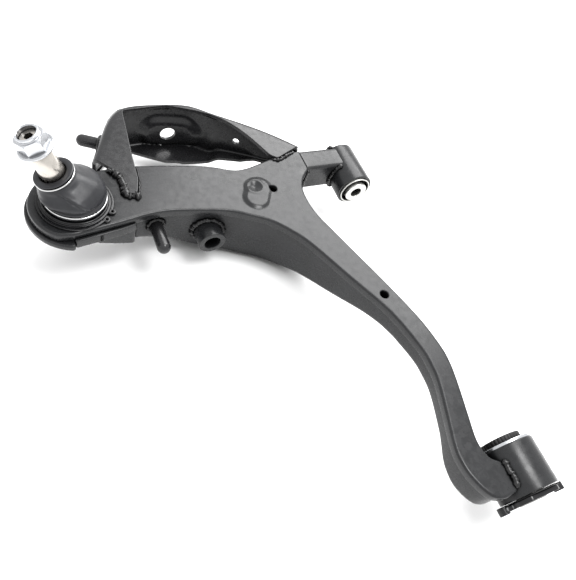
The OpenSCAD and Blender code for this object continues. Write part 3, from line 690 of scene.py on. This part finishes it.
def side_strap():
    low, high = (corner.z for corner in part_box("side_strap"))
    outer = outline("side_strap", (low + high) / 2, 1 * MM, 2)
    shape = plate(outer, [], low, high, r=0.9 * MM, steps=4, pitch=3 * MM)
    piece("strap", shape, "arm", PAINT, ["side_strap"])


def front_stub():
    """Box section from the arm to the front bush, cut to lie on its housing."""
    low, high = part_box("front_stub")
    housing_r = outer_radius("front_bush_housing", Y)
    corner = 6 * MM

    def ring(shrink):
        y0, y1, z0, z1 = low.y + shrink, high.y - shrink, low.z + shrink, high.z - shrink
        return fillets([(y0, z0), (y1, z0), (y1, z1), (y0, z1)], corner - shrink, steps=6)
    rings = [ring(0), ring(SHEET)]
    verts, count = [], len(rings[0])
    steps = 6
    for points in rings:
        for k in range(steps + 1):
            for y, z in points:
                start = math.sqrt(housing_r ** 2 - z ** 2)
                verts.append((start + (high.x + 1 * MM - start) * k / steps, y, z))
    first = (steps + 1) * count
    faces = grid_faces(steps + 1, count)
    faces += [tuple(first + corner for corner in reversed(face)) for face in faces]
    for row in (0, steps * count):
        for m in range(count):
            n = (m + 1) % count
            faces.append((row + m, row + n, first + row + n, first + row + m))
    piece("stub_box", (verts, faces), "arm", PAINT, ["front_stub"])


# ---- the damper bracket ----

FLANGE_ROLL = 8 * MM
WEB_ROLL = 7 * MM
FLANGE_EDGE = 0.8 * MM
WEB_POINTS = 44  # points down each face of the web
CUTTER_HALF = 60 * MM
VENT = Vector((121, -84, -7)) * MM  # small hole in the web, square to the web's face there
VENT_TURN = math.radians(-33)
VENT_R = 4.3 * MM
VENT_CUTTER_HALF = 16 * MM
BOSS_HALF = 15 * MM  # the oval boss around the bolt hole
BOSS_R = 13 * MM
BOSS_RAMP = 14 * MM
BOSS_HEIGHT = 6 * MM
# Places across the arm, and how far in from the web's outermost line its lower shelf reaches there
SHELF_EDGE = ((BOLT.x - 92 * MM, 66 * MM), (BOLT.x - 55 * MM, 46 * MM), (BOLT.x + 6 * MM, 38 * MM),
              (BOLT.x + 38 * MM, 22 * MM), (BOLT.x + 60 * MM, 11 * MM))
SHELF_FADE = 34 * MM  # the shelf narrows to nothing where the web is this much lower


def bracket_line():
    """The bracket's outer edge in plan, from its leg to its root."""
    flange = resampled(section("damper_bracket", PLATE_TOP + SHEET / 2)[0], 2 * MM)
    web = section("damper_bracket", 8 * MM)[0]
    line = flange[runs(gaps(flange, web) < 0.3 * MM)[0]]
    return softened(resampled(line, 2 * MM, closed=False), 30, closed=False)


def bracket_flange(line, flange):
    """The bracket's top flange, rolled over along its outer edge."""
    top_z = PLATE_TOP + SHEET

    def top(points, edge):
        return top_z - roll(gaps(points, line, closed=False), FLANGE_ROLL) - roll(edge, FLANGE_EDGE)

    def bottom(points, _edge):
        outer = gaps(points, line, closed=False)
        bend = roll(np.maximum(outer - SHEET, 0), FLANGE_ROLL - SHEET)
        return np.where(outer < SHEET, top_z - FLANGE_ROLL - 1.5 * MM, PLATE_TOP - bend)
    rows = [*roll_rows(FLANGE_EDGE, 3), *roll_rows(FLANGE_ROLL), *WALL_ROWS]
    return slab(flange, [], rows, 4 * MM, top, bottom)


def bracket_web(line):
    """The web that hangs from the bracket's outer edge, with its boss and lower shelf."""
    way = np.gradient(line, axis=0)
    inward = np.stack([-way[:, 1], way[:, 0]], 1) / np.linalg.norm(way, axis=1)[:, None]
    low = underside("damper_bracket", 2 * MM)(line + inward * 2 * MM)
    low = softened(low[:, None], 12, closed=False)[:, 0]
    ends = line[:, 1].min() + np.interp(line[:, 0], *zip(*SHELF_EDGE))
    reach = np.clip((ends - line[:, 1]) / np.maximum(inward[:, 1], 0.2), WEB_ROLL, SHELF_EDGE[1][1])
    depth = 1 - ease((low - low.min() - 1 * MM) / SHELF_FADE)
    verts = []
    for p, n, z0, share, wide in zip(line, inward, low, depth, reach):
        shelf = WEB_ROLL + (wide - WEB_ROLL) * float(share)
        for s, z in web_profile(PLATE_TOP + SHEET - FLANGE_ROLL - 0.5 * MM, z0, shelf):
            at = p + n * s
            rise = boss(at, z) if s < WEB_ROLL else 0
            verts.append((at[0] + n[0] * rise, at[1] + n[1] * rise, z))
    ring = 2 * WEB_POINTS
    last = (len(line) - 1) * ring
    ends = [tuple(range(ring)), tuple(range(last, last + ring))[::-1]]
    return verts, grid_faces(len(line), ring) + ends


def cutter(name, r, half, centre, axis, segments):
    """Round rod that cuts a hole."""
    rod = turned([(0, -half), (r, -half), (r, half), (0, half)], centre, axis, segments, closed=False)
    return piece(name, rod, None, BRACKET_PAINT)


def bracket():
    """The damper bracket as one solid; returns its flange's outline for the welds."""
    line = bracket_line()
    flange = softened(resampled(section("damper_bracket", PLATE_TOP + SHEET / 2)[0], 1.5 * MM), 4)
    body = piece("bracket_pressing", bracket_flange(line, flange), None, BRACKET_PAINT)
    web = piece("web_part", bracket_web(line), None, BRACKET_PAINT)
    bolt = cutter("bolt_cutter", BOLT_R, CUTTER_HALF, (BOLT.x, line[:, 1].min(), BOLT.z), Y, 64)
    vent_way = Vector((math.sin(-VENT_TURN), math.cos(VENT_TURN), 0))
    vent = cutter("vent_cutter", VENT_R, VENT_CUTTER_HALF, VENT, vent_way, 48)
    combine(body, web, "UNION")
    for hole in (bolt, vent):
        combine(body, hole, "DIFFERENCE")
    body.data.shade_smooth()
    body.data.set_sharp_from_angle(angle=math.radians(32))
    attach(body, "arm")
    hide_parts("damper_bracket")
    return flange


def boss(at, z):
    """How far the web is pressed inwards around the bolt hole."""
    spot = np.array([[at[0], z]])
    far = capsule(spot, (BOLT.x - 3 * MM, BOLT.z), math.radians(3), BOSS_HALF)
    return float(BOSS_HEIGHT * ease((BOSS_R + BOSS_RAMP - far) / BOSS_RAMP)[0])


def web_profile(high, low, reach, steps=8, pitch=3 * MM):
    """Section of the web and its bottom flange: distance inwards from the outer face, and height."""
    skin = 0.02 * MM

    def side(s, r, floor):
        rise = np.linspace(high, floor + r, max(int((high - floor - r) / pitch), 2))
        turn = [k / steps * math.pi / 2 for k in range(1, steps + 1)]
        bend = [(s + r * (1 - math.cos(a)), floor + r * (1 - math.sin(a))) for a in turn]
        flat = [(s + r + (reach - s - r) * k / 6, floor) for k in range(1, 7)] if reach > s + r else []
        return [(s, float(z)) for z in rise] + bend + flat
    outer = spread(np.array(side(skin, WEB_ROLL, low)), WEB_POINTS)
    inner = spread(np.array(side(SHEET, WEB_ROLL - SHEET, low + SHEET)), WEB_POINTS)
    return np.concatenate([outer, inner[::-1]])


def combine(body, other, operation):
    """Joins another solid to a piece or cuts it away, and removes the other."""
    change = body.modifiers.new("combine", "BOOLEAN")
    change.operation, change.solver, change.object = operation, "EXACT", other
    made = bpy.data.meshes.new_from_object(body.evaluated_get(bpy.context.evaluated_depsgraph_get()))
    body.modifiers.clear()
    body.data = made
    bpy.data.objects.remove(other)


# ---- the bushes ----

COLLAR_R = 22 * MM  # ribbed rubber collar at the rear bush's front end
COLLAR_PROUD = 3 * MM
RIBS = 36
RIB_DEPTH = 0.5 * MM
RIB_FOOT_R = 14 * MM  # ribs start outside this radius
LUG_R = 5.5 * MM
LUG_BACK = 1.5 * MM  # the stop plate's lugs stand this far out of both its faces
LUG_RIDGES = 12


def tube_piece(name, node, body, material, corner):
    """A plain tube around the pivot line, the size of its CAD node."""
    low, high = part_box(node)
    profile = ring_profile(inner_radius(node, Y), outer_radius(node, Y), low.y, high.y, corner)
    return piece(name, turned(profile, ORIGIN, Y), body, material, [node])


def bush_rubber(name, node, r_out, r_in, low, high, dip=3 * MM, collar=None):
    """Bonded rubber with a dished face at each end, and a ribbed collar where there is one."""
    mid, half = (r_out + r_in) / 2, (r_out - r_in) / 2
    turn = [math.pi * k / 10 for k in range(11)]
    near = [(mid + half * 0.8 * math.cos(a), low + dip * math.sin(a)) for a in turn][::-1]
    far = [(mid + half * 0.8 * math.cos(a), high - dip * math.sin(a)) for a in turn]
    profile = [(r_in, low), *near, (r_out, low), (r_out, high), *far, (r_in, high)]
    if collar:
        collar_r, collar_low = collar
        lip = ring_profile(r_in, collar_r, collar_low, low + 1 * MM, 1.2 * MM)
        piece(name + "_collar", turned(lip, ORIGIN, Y, 288, shape=ribs), "arm", BUSH)
    return piece(name, turned(profile, ORIGIN, Y), "arm", BUSH, [node])


def ribs(r, h, a):
    """Rib pattern on the rim of a rubber collar."""
    return (r - RIB_DEPTH * max(0, math.sin(a * RIBS)) if r > RIB_FOOT_R else r), h


def front_bush():
    tube_piece("front_housing", "front_bush_housing", "arm", PAINT, 1.0 * MM)
    tube_piece("front_outer_sleeve", "front_bush_outer_sleeve", "arm", ZINC_RINGS, 0.4 * MM)
    tube_piece("front_inner_sleeve", "front_bush_inner_sleeve", "front_pivot", ZINC_RINGS,
               0.9 * MM)
    low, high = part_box("front_bush_rubber")
    bush_rubber("front_rubber", "front_bush_rubber", outer_radius("front_bush_rubber", Y),
                inner_radius("front_bush_rubber", Y), low.y, high.y)


def rear_bush():
    tube_piece("rear_housing", "rear_bush_housing", "arm", PAINT, 0.9 * MM)
    tube_piece("rear_inner_sleeve", "rear_bush_inner_sleeve", "rear_pivot", ZINC_RINGS,
               0.9 * MM)
    tube_piece("rear_snubber", "rear_bush_snubber", "rear_pivot", BUSH, 0.4 * MM)
    low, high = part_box("rear_bush_outer_sleeve")
    housing_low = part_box("rear_bush_housing")[0].y
    r_in = inner_radius("rear_bush_outer_sleeve", Y)
    r_end = outer_radius("rear_bush_outer_sleeve", Y)
    r_tube = inner_radius("rear_bush_housing", Y) - 0.05 * MM
    profile = fillets([(r_in, low.y), (r_end, low.y), (r_end, housing_low), (r_tube, housing_low),
                       (r_tube, high.y), (r_in, high.y)], 0.6 * MM)
    piece("rear_outer_sleeve", turned(profile, ORIGIN, Y), "arm", ZINC,
          ["rear_bush_outer_sleeve"])
    box_low, box_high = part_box("rear_bush_rubber")
    bush_rubber("rear_rubber", "rear_bush_rubber", r_in - 0.05 * MM, inner_radius("rear_bush_rubber", Y),
                low.y + 1 * MM, box_high.y, collar=(COLLAR_R, box_low.y - COLLAR_PROUD))


def stop_plate():
    """Plate on the rear bush's rear end, with two round rubber lugs."""
    low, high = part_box("rear_bush_stop_plate")
    bore = circle(0, 0, inner_radius("rear_bush_stop_plate", Y) + 0.02 * MM)
    outer = outline("rear_bush_stop_plate", (low.y + high.y) / 2, 1 * MM, 5, up="Y")
    shape = plate(outer, [bore], low.y + LUG_BACK, high.y - LUG_BACK, 0.9 * MM, 4, 2.5 * MM, up="Y")
    piece("stop_plate", shape, "rear_pivot", JOINT, ["rear_bush_stop_plate"])
    profile = fillets([(0, low.y), (LUG_R, low.y), (LUG_R, high.y), (0, high.y)], 0.8 * MM, closed=False)
    for name, x, z in (("a", high.x - LUG_R, -1.5 * MM), ("b", low.x + LUG_R, -0.5 * MM)):
        shape = turned(profile, (x, 0, z), Y, 144, closed=False, shape=ridged)
        piece("stop_lug_" + name, shape, "rear_pivot", JOINT)


def ridged(r, h, a):
    """Low ridges down the side of a lug."""
    return r * (1 - 0.05 * (math.sin(LUG_RIDGES * a) > 0)), h


# ---- the ball joint ----

def at_ball(profile):
    """Radii and heights above the ball's centre, from millimetres."""
    return [(r * MM, h * MM) for r, h in profile]


def joint_housing():
    """Stepped housing pressed through the arm: outside from the floor up, then inside down."""
    arm_top = (PLATE_TOP - BALL.z) / MM
    body_r = 34.0
    profile = at_ball([
        (25.0, -25), (29.5, -25), (34.5, -21.5), (34.5, -19), (37.5, -19), (37.5, -15.1), (body_r, -15.1),
        (body_r, arm_top + 2.6), (35.6, arm_top + 2.6), (35.6, arm_top + 3.6), (33.4, arm_top + 3.9),
        (33.4, 10.6), (32.6, 11.0), (29.5, 11.0), (29.5, 18.0), (19.2, 18.0), (15.2, 8.0), (15.2, 7.1),
        (20.05, 7.1), (20.05, -21.3), (25.0, -21.3)])
    piece("joint_housing", turned(fillets(profile, 0.9 * MM), BALL, Z), "arm", JOINT,
          ["ball_joint_housing"])


def joint_cover():
    """Dished disc that closes the housing from below."""
    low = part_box("ball_joint_cover")[0].z - BALL.z
    cover = fillets([(0, low + 0.8 * MM), (14 * MM, low + 0.8 * MM), (16 * MM, low), (24.9 * MM, low),
                     (24.9 * MM, low + 2.8 * MM), (0, low + 2.8 * MM)], 0.6 * MM, closed=False)
    piece("joint_cover", turned(cover, BALL, Z, closed=False), "arm", JOINT,
          ["ball_joint_cover"])


def seat():
    """The seat stays a CAD node, with its own material."""
    materials = frame["nodes"]["ball_joint_seat"].data.materials
    materials.clear()
    materials.append(SEAT)


def circlip():
    low, high = (corner.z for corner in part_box("ball_joint_circlip"))
    loops = section("ball_joint_circlip", (low + high) / 2)
    outer, *holes = [resampled(loop, 0.8 * MM) for loop in loops]
    shape = plate(outer, holes, low, high, r=0.35 * MM, steps=2, pitch=1.6 * MM)
    piece("circlip", shape, "arm", JOINT, ["ball_joint_circlip"])


def stud():
    """Ball, neck, taper and fine thread rings, with a hex socket in the end."""
    ball_r, neck_r, socket_r = 17.0, 9.0, 4.0
    join = math.acos(neck_r / ball_r)
    ball = [(ball_r * math.cos(a), ball_r * math.sin(a)) for a in np.linspace(-math.pi / 2, join, 40)]
    ball[0] = (0, -ball_r)
    thread = [(9.0 - 0.9 * (k % 2), 82 + 0.6 * k) for k in range(26)]
    socket = [(socket_r, 99), (socket_r, 92.5), (0, 91.0)]
    taper = [(9, 34), (9.4, 36), (13, 47), (10.3, 80), (9, 81.5)]
    profile = at_ball([*ball, *taper, *thread, (8.4, 99), *socket])

    def with_socket(r, h, a):
        on_socket = h > 92 * MM and abs(r - socket_r * MM) < 0.1 * MM
        return (hexagon(2 * socket_r * MM, a) if on_socket else r), h
    piece("stud", turned(profile, BALL, STUD_AXIS, 180, closed=False, shape=with_socket), "stud",
          STEEL, ["ball_stud"])


def nut():
    """Flange nut with a thin collar above its hexagon."""
    flats = 27 * MM
    profile = at_ball([
        (9.1, 84), (17.6, 84), (18.3, 84.8), (18.3, 86.2), (16.6, 87.4), (16.2, 88.2), (16.2, 97.5),
        (14.2, 100), (12.0, 100.2), (11.5, 100.6), (11.5, 103.4), (10.9, 104), (9.9, 104), (9.1, 103)])

    def shaped(r, h, a):
        on_hex = 87.3 * MM < h < 100.1 * MM and r > 11.9 * MM
        return (min(r, hexagon(flats, a)) if on_hex else r), h
    body = fillets(profile, 0.35 * MM, steps=3)
    piece("flange_nut", turned(body, BALL, STUD_AXIS, 180, shape=shaped), "stud", ZINC,
          ["stud_nut"], sharp=30)


LEAN = math.acos(STUD_AXIS.z)
LEAN_WAY = math.atan2(STUD_AXIS.y, STUD_AXIS.x)
FOOT, LIP = 17 * MM, 44 * MM  # the boot bends between these heights above the ball
BOOT_SIDES = 240
WIRE_R = 1.0 * MM
LINE_TURN = 1.6  # where the moulding line is at the lip, round the boot
LINE_CLIMB = 0.022  # its turn for each millimetre below the lip


def bent(r, h, a):
    """A point of the boot: radius and height along its bending centre line, at an angle round it."""
    t = LEAN * float(ease((h - FOOT) / (LIP - FOOT)))
    u = h * math.sin(t) + r * math.cos(a) * math.cos(t)
    z = h * math.cos(t) - r * math.cos(a) * math.sin(t)
    v = r * math.sin(a)
    c, s = math.cos(LEAN_WAY), math.sin(LEAN_WAY)
    return Vector((BALL.x + u * c - v * s, BALL.y + u * s + v * c, BALL.z + z))


def boot():
    """Dust boot: a foot bead, one low fold, a full shoulder and a lip under the upper ring."""
    outside = at_ball([
        (31.2, 12.5), (31.6, 13.2), (31.4, 14.4), (30.6, 15.2), (30.6, 17.2), (31.2, 18.0), (31.8, 19.0),
        (31.6, 20.2), (29.9, 21.6), (30.1, 22.8), (32.4, 24.2), (32.9, 26.0), (32.0, 28.8), (29.8, 32.0),
        (26.6, 35.2), (23.8, 38.6), (21.4, 41.6), (19.9, 43.6), (19.5, 44.6), (18.7, 45.4), (18.7, 48.2),
        (19.6, 49.0), (20.3, 49.8), (20.3, 50.6), (19.6, 51.2), (17.0, 51.4)])
    inside_wall = at_ball([
        (13.8, 51.2), (13.3, 50.0), (13.3, 46.0), (16.5, 44.0), (20.9, 38.6), (24.0, 35.0), (27.2, 31.0),
        (29.6, 27.0), (29.4, 24.0), (28.2, 22.0), (29.0, 19.6), (29.6, 18.4), (29.8, 17.6), (29.8, 12.5)])
    profile = fillets(outside + inside_wall, 0.9 * MM, steps=3)
    turns = [math.tau * k / BOOT_SIDES for k in range(BOOT_SIDES)]
    verts = [bent(r + boot_relief(r, h, a), h, a) for r, h in profile for a in turns]
    faces = grid_faces(len(profile), BOOT_SIDES, closed=True)
    made = piece("boot", (verts, faces), None, BOOT, ["dust_boot"], sharp=50)
    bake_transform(made)


def boot_relief(r, h, a):
    """Soft dents of the boot's shoulder, and a moulding line that climbs round it."""
    on_wall = float(ease((h - 22 * MM) / (4 * MM)) * ease((43 * MM - h) / (4 * MM)))
    dent = -0.9 * MM * math.sin(3 * a + 0.6) ** 2 - 0.5 * MM * math.cos(5 * a)
    line_at = LINE_TURN + (LIP - h) / MM * LINE_CLIMB
    off = (a - line_at + math.pi) % math.tau - math.pi
    seam = 0.7 * MM * math.exp(-((off - 0.12) / 0.07) ** 2) - 1.1 * MM * math.exp(-(off / 0.045) ** 2)
    return on_wall * (dent + (seam if r > 18 * MM else 0))


def hoop(r, h, axis):
    """Wire ring around the ball joint: its middle line's radius and height in millimetres."""
    turn = [math.tau * k / 12 for k in range(12)]
    profile = [(r * MM + WIRE_R * math.cos(b), h * MM + WIRE_R * math.sin(b)) for b in turn]
    return turned(profile, BALL, axis, 180)


def wire_rings():
    """The two rings that hold the boot; the lower one sits a little above its CAD node."""
    lower_h = (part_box("boot_lower_clip")[0].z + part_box("boot_lower_clip")[1].z) / 2 / MM - BALL.z / MM
    piece("lower_ring", hoop(31.3, lower_h + 1.4, Z), "arm", WIRE, ["boot_lower_clip"])
    piece("upper_ring", hoop(19.6, 46.8, STUD_AXIS), "stud_tilt", WIRE, ["boot_upper_clip"])


# ---- tube, pegs and welds ----

WELD_SEARCH = 90 * MM  # how far behind a tube's end its wall is looked for
WELD_LUMPS = 0.28
WELD_WANDER = 0.6 * MM


def tube_and_pegs():
    """The bolt's tube through the box section, and the two pegs."""
    low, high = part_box("damper_bolt_tube")
    profile = ring_profile(BOLT_R, (high.x - low.x) / 2, low.y, high.y, 1.0 * MM)
    piece("bolt_tube", turned(profile, (BOLT.x, 0, BOLT.z), Y), "arm", PAINT,
          ["damper_bolt_tube"])
    low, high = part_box("near_peg")
    peg("mounting_peg", "near_peg", Vector((PEG.x, low.y, PEG.z)), Y, PEG_R, high.y - low.y)
    along = [FAR_PEG_AXIS.dot(v.co - FAR_PEG) for v in frame["nodes"]["far_peg"].data.vertices]
    peg("bracket_peg", "far_peg", FAR_PEG + FAR_PEG_AXIS * min(along), FAR_PEG_AXIS, FAR_PEG_R,
        max(along) - min(along))


def peg(name, node, foot, axis, r, length):
    """Round peg with a domed tip."""
    dome = [(r * math.cos(a), length - r + r * math.sin(a)) for a in np.linspace(0, math.pi / 2, 14)]
    dome[-1] = (0, length)
    profile = [(0, 0), (r, 0), (r, 2 * MM), (r, (length - r) / 2), *dome]
    piece(name, turned(profile, foot, axis, 96, closed=False), "arm", BRACKET_PAINT, [node])


def ring_weld(name, node, centre, axis, r, onto, bead, seed):
    """A bead round a tube or peg, laid where its surface meets the wall behind it."""
    tree = tree_of(onto)
    axis = Vector(axis).normalized()
    side = axis.cross(Z).normalized()
    over = side.cross(axis)
    path = []
    for degrees in range(0, 361, 3):
        a = math.radians(degrees)
        start = Vector(centre) + (side * math.cos(a) + over * math.sin(a)) * (r + bead * 0.35)
        hit = tree.ray_cast(start, -axis, WELD_SEARCH)[0]
        if hit is not None:
            path.append(hit + axis * bead * 0.3)
    piece(name, swept(path, bead, WELD_LUMPS, seed), "arm", WELD, [node], sharp=80)


def line_weld(name, nodes, path, bead, seed, lumps=WELD_LUMPS):
    """A slightly wandering bead along a path."""
    path = [Vector(p) for p in resampled(np.array([tuple(p) for p in path]), 1 * MM, closed=False)]
    wander = [p + noise.noise_vector(p * 220 + Vector((seed, 0, 0))) * WELD_WANDER for p in path]
    piece(name, swept(wander, bead, lumps, seed), "arm", WELD, nodes, sharp=80)


def ring_welds():
    """Beads around the bolt's tube and both pegs."""
    ring_weld("tube_bead", "weld_tube", (BOLT.x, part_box("damper_bolt_tube")[1].y, BOLT.z), Y,
              outer_radius("damper_bolt_tube", Y, BOLT), "lower_shell", 3.4 * MM, 1)
    ring_weld("peg_bead", "weld_near_peg", (PEG.x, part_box("near_peg")[1].y, PEG.z), Y, PEG_R,
              "lower_shell", 2.8 * MM, 2)
    ring_weld("far_peg_bead", "weld_far_peg", FAR_PEG + FAR_PEG_AXIS * 15 * MM, FAR_PEG_AXIS, FAR_PEG_R,
              "damper_bracket", 2.4 * MM, 3)


def bracket_welds(flange):
    """Beads beside the bracket's flange where it lies on the plate: its root, and its leg."""
    plate_edge = outline("upper_shell", PLATE_MID)
    beside = row_inside(flange, -1.6 * MM)
    on_plate = inside(beside, [plate_edge]) & (gaps(beside, plate_edge) > 1 * MM)
    for k, stretch in enumerate(runs(on_plate)[:3]):
        path = [(*beside[m], PLATE_TOP + 0.5 * MM) for m in stretch]
        if beside[stretch, 0].mean() < BOLT.x:
            line_weld(f"root_bead_{k}", ["weld_bracket_root"], path, 2.2 * MM, 10 + k, 0.4)
            continue
        tip = int(np.argmax(beside[stretch, 1]))   # the leg's outboard side and tip carry the heavy bead
        line_weld(f"leg_bead_{k}", ["weld_bracket_leg"], path[:tip + 6], 4.2 * MM, 10 + k, 0.45)
        if len(path) > tip + 12:
            line_weld(f"leg_seam_{k}", [], path[tip + 5:], 1.1 * MM, 15 + k, 0.2)


def front_welds():
    """Beads at both ends of the front stub."""
    low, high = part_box("front_stub")
    for k, y in enumerate((low.y, high.y)):
        path = [(high.x, y, high.z - 3 * MM), (high.x + 0.5 * MM, y, (high.z + low.z) / 2),
                (high.x, y, low.z + 3 * MM)]
        line_weld(f"stub_bead_{k}", ["weld_stub"], path, 2.8 * MM, 20 + k)
    r = outer_radius("front_bush_housing", Y) + 1 * MM
    arc = [(math.cos(a) * r, high.y + 1 * MM, math.sin(a) * r) for a in np.radians(np.arange(-44, 60, 3))]
    line_weld("front_housing_bead", ["weld_front_housing"], arc, 2.6 * MM, 30)
    arc = [(x, low.y - 1 * MM, z) for x, _, z in arc]
    line_weld("front_housing_bead_back", [], arc, 2.6 * MM, 31)


def rear_weld():
    """Bead where the top plate meets the rear bush's housing."""
    low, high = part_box("weld_rear_housing")
    x = math.sqrt(outer_radius("rear_bush_housing", Y) ** 2 - PLATE_TOP ** 2) + 1.4 * MM
    z = PLATE_TOP + 0.8 * MM
    path = [(x, low.y - 2 * MM, z), (x, high.y + 1 * MM, z)]
    line_weld("rear_housing_bead", ["weld_rear_housing"], path, 3.2 * MM, 40, 0.35)


# ---- stage ----

SENSOR, LENS = 36, 37.24  # millimetres
CAMERA_PLACE = (0.422, 0.441, 0.521)
CAMERA_RIGHT = (-0.8893, 0.3779, 0.2579)
CAMERA_UP = (-0.1873, -0.8150, 0.5484)
CAMERA_BACK = (0.4174, 0.4394, 0.7955)
MIDDLE = (0.17, 0.15, 0)  # about the arm's middle, where the lamps point
WORLD = 1.3  # the room around the object, a little over white
FLOOR_WIDTH = 12
FLOOR_GAP = 0.2 * MM


def camera():
    data = bpy.data.cameras.new("camera")
    data.sensor_width, data.lens = SENSOR, LENS
    data.clip_start, data.clip_end = 0.01, 50
    made = bpy.data.objects.new("camera", data)
    bpy.context.scene.collection.objects.link(made)
    rotation = Matrix((CAMERA_RIGHT, CAMERA_UP, CAMERA_BACK)).transposed()
    made.matrix_world = Matrix.Translation(CAMERA_PLACE) @ rotation.to_4x4()
    bpy.context.scene.camera = made


def soft_box(name, place, size, watts):
    """Square area lamp that points at the arm's middle."""
    data = bpy.data.lights.new(name, "AREA")
    data.shape, data.size, data.energy = "SQUARE", size, watts
    made = bpy.data.objects.new(name, data)
    bpy.context.scene.collection.objects.link(made)
    made.location = place
    made.rotation_mode = "QUATERNION"
    made.rotation_quaternion = (Vector(MIDDLE) - Vector(place)).to_track_quat("-Z", "Y")


def studio():
    """White room with two lamps and a white floor just under the arm."""
    world = bpy.data.worlds.new("studio")
    world.use_nodes = True
    world.node_tree.nodes["Background"].inputs["Color"].default_value = (1, 1, 1, 1)
    world.node_tree.nodes["Background"].inputs["Strength"].default_value = WORLD
    bpy.context.scene.world = world
    bpy.context.scene.view_settings.view_transform = "Standard"
    soft_box("overhead", (-0.75, -0.8, 1.45), 1.4, 46)
    soft_box("above", (-0.12, 0.35, 1.3), 0.5, 11)
    place = (MIDDLE[0], MIDDLE[1], cad_box[0].z - FLOOR_GAP)
    bpy.ops.mesh.primitive_plane_add(size=FLOOR_WIDTH, location=place)
    floor = bpy.context.object
    floor.name = "floor"
    floor.data.materials.append(surface("floor_white", (0.95, 0.95, 0.95), 0.6, mottle=0.01, bump=0.0))


camera()
upper_pressing()
lower_pressing()
carrier()
side_strap()
front_stub()
flange_outline = bracket()
front_bush()
rear_bush()
stop_plate()
joint_housing()
joint_cover()
seat()
circlip()
stud()
nut()
boot()
wire_rings()
tube_and_pegs()
ring_welds()
bracket_welds(flange_outline)
front_welds()
rear_weld()
studio()
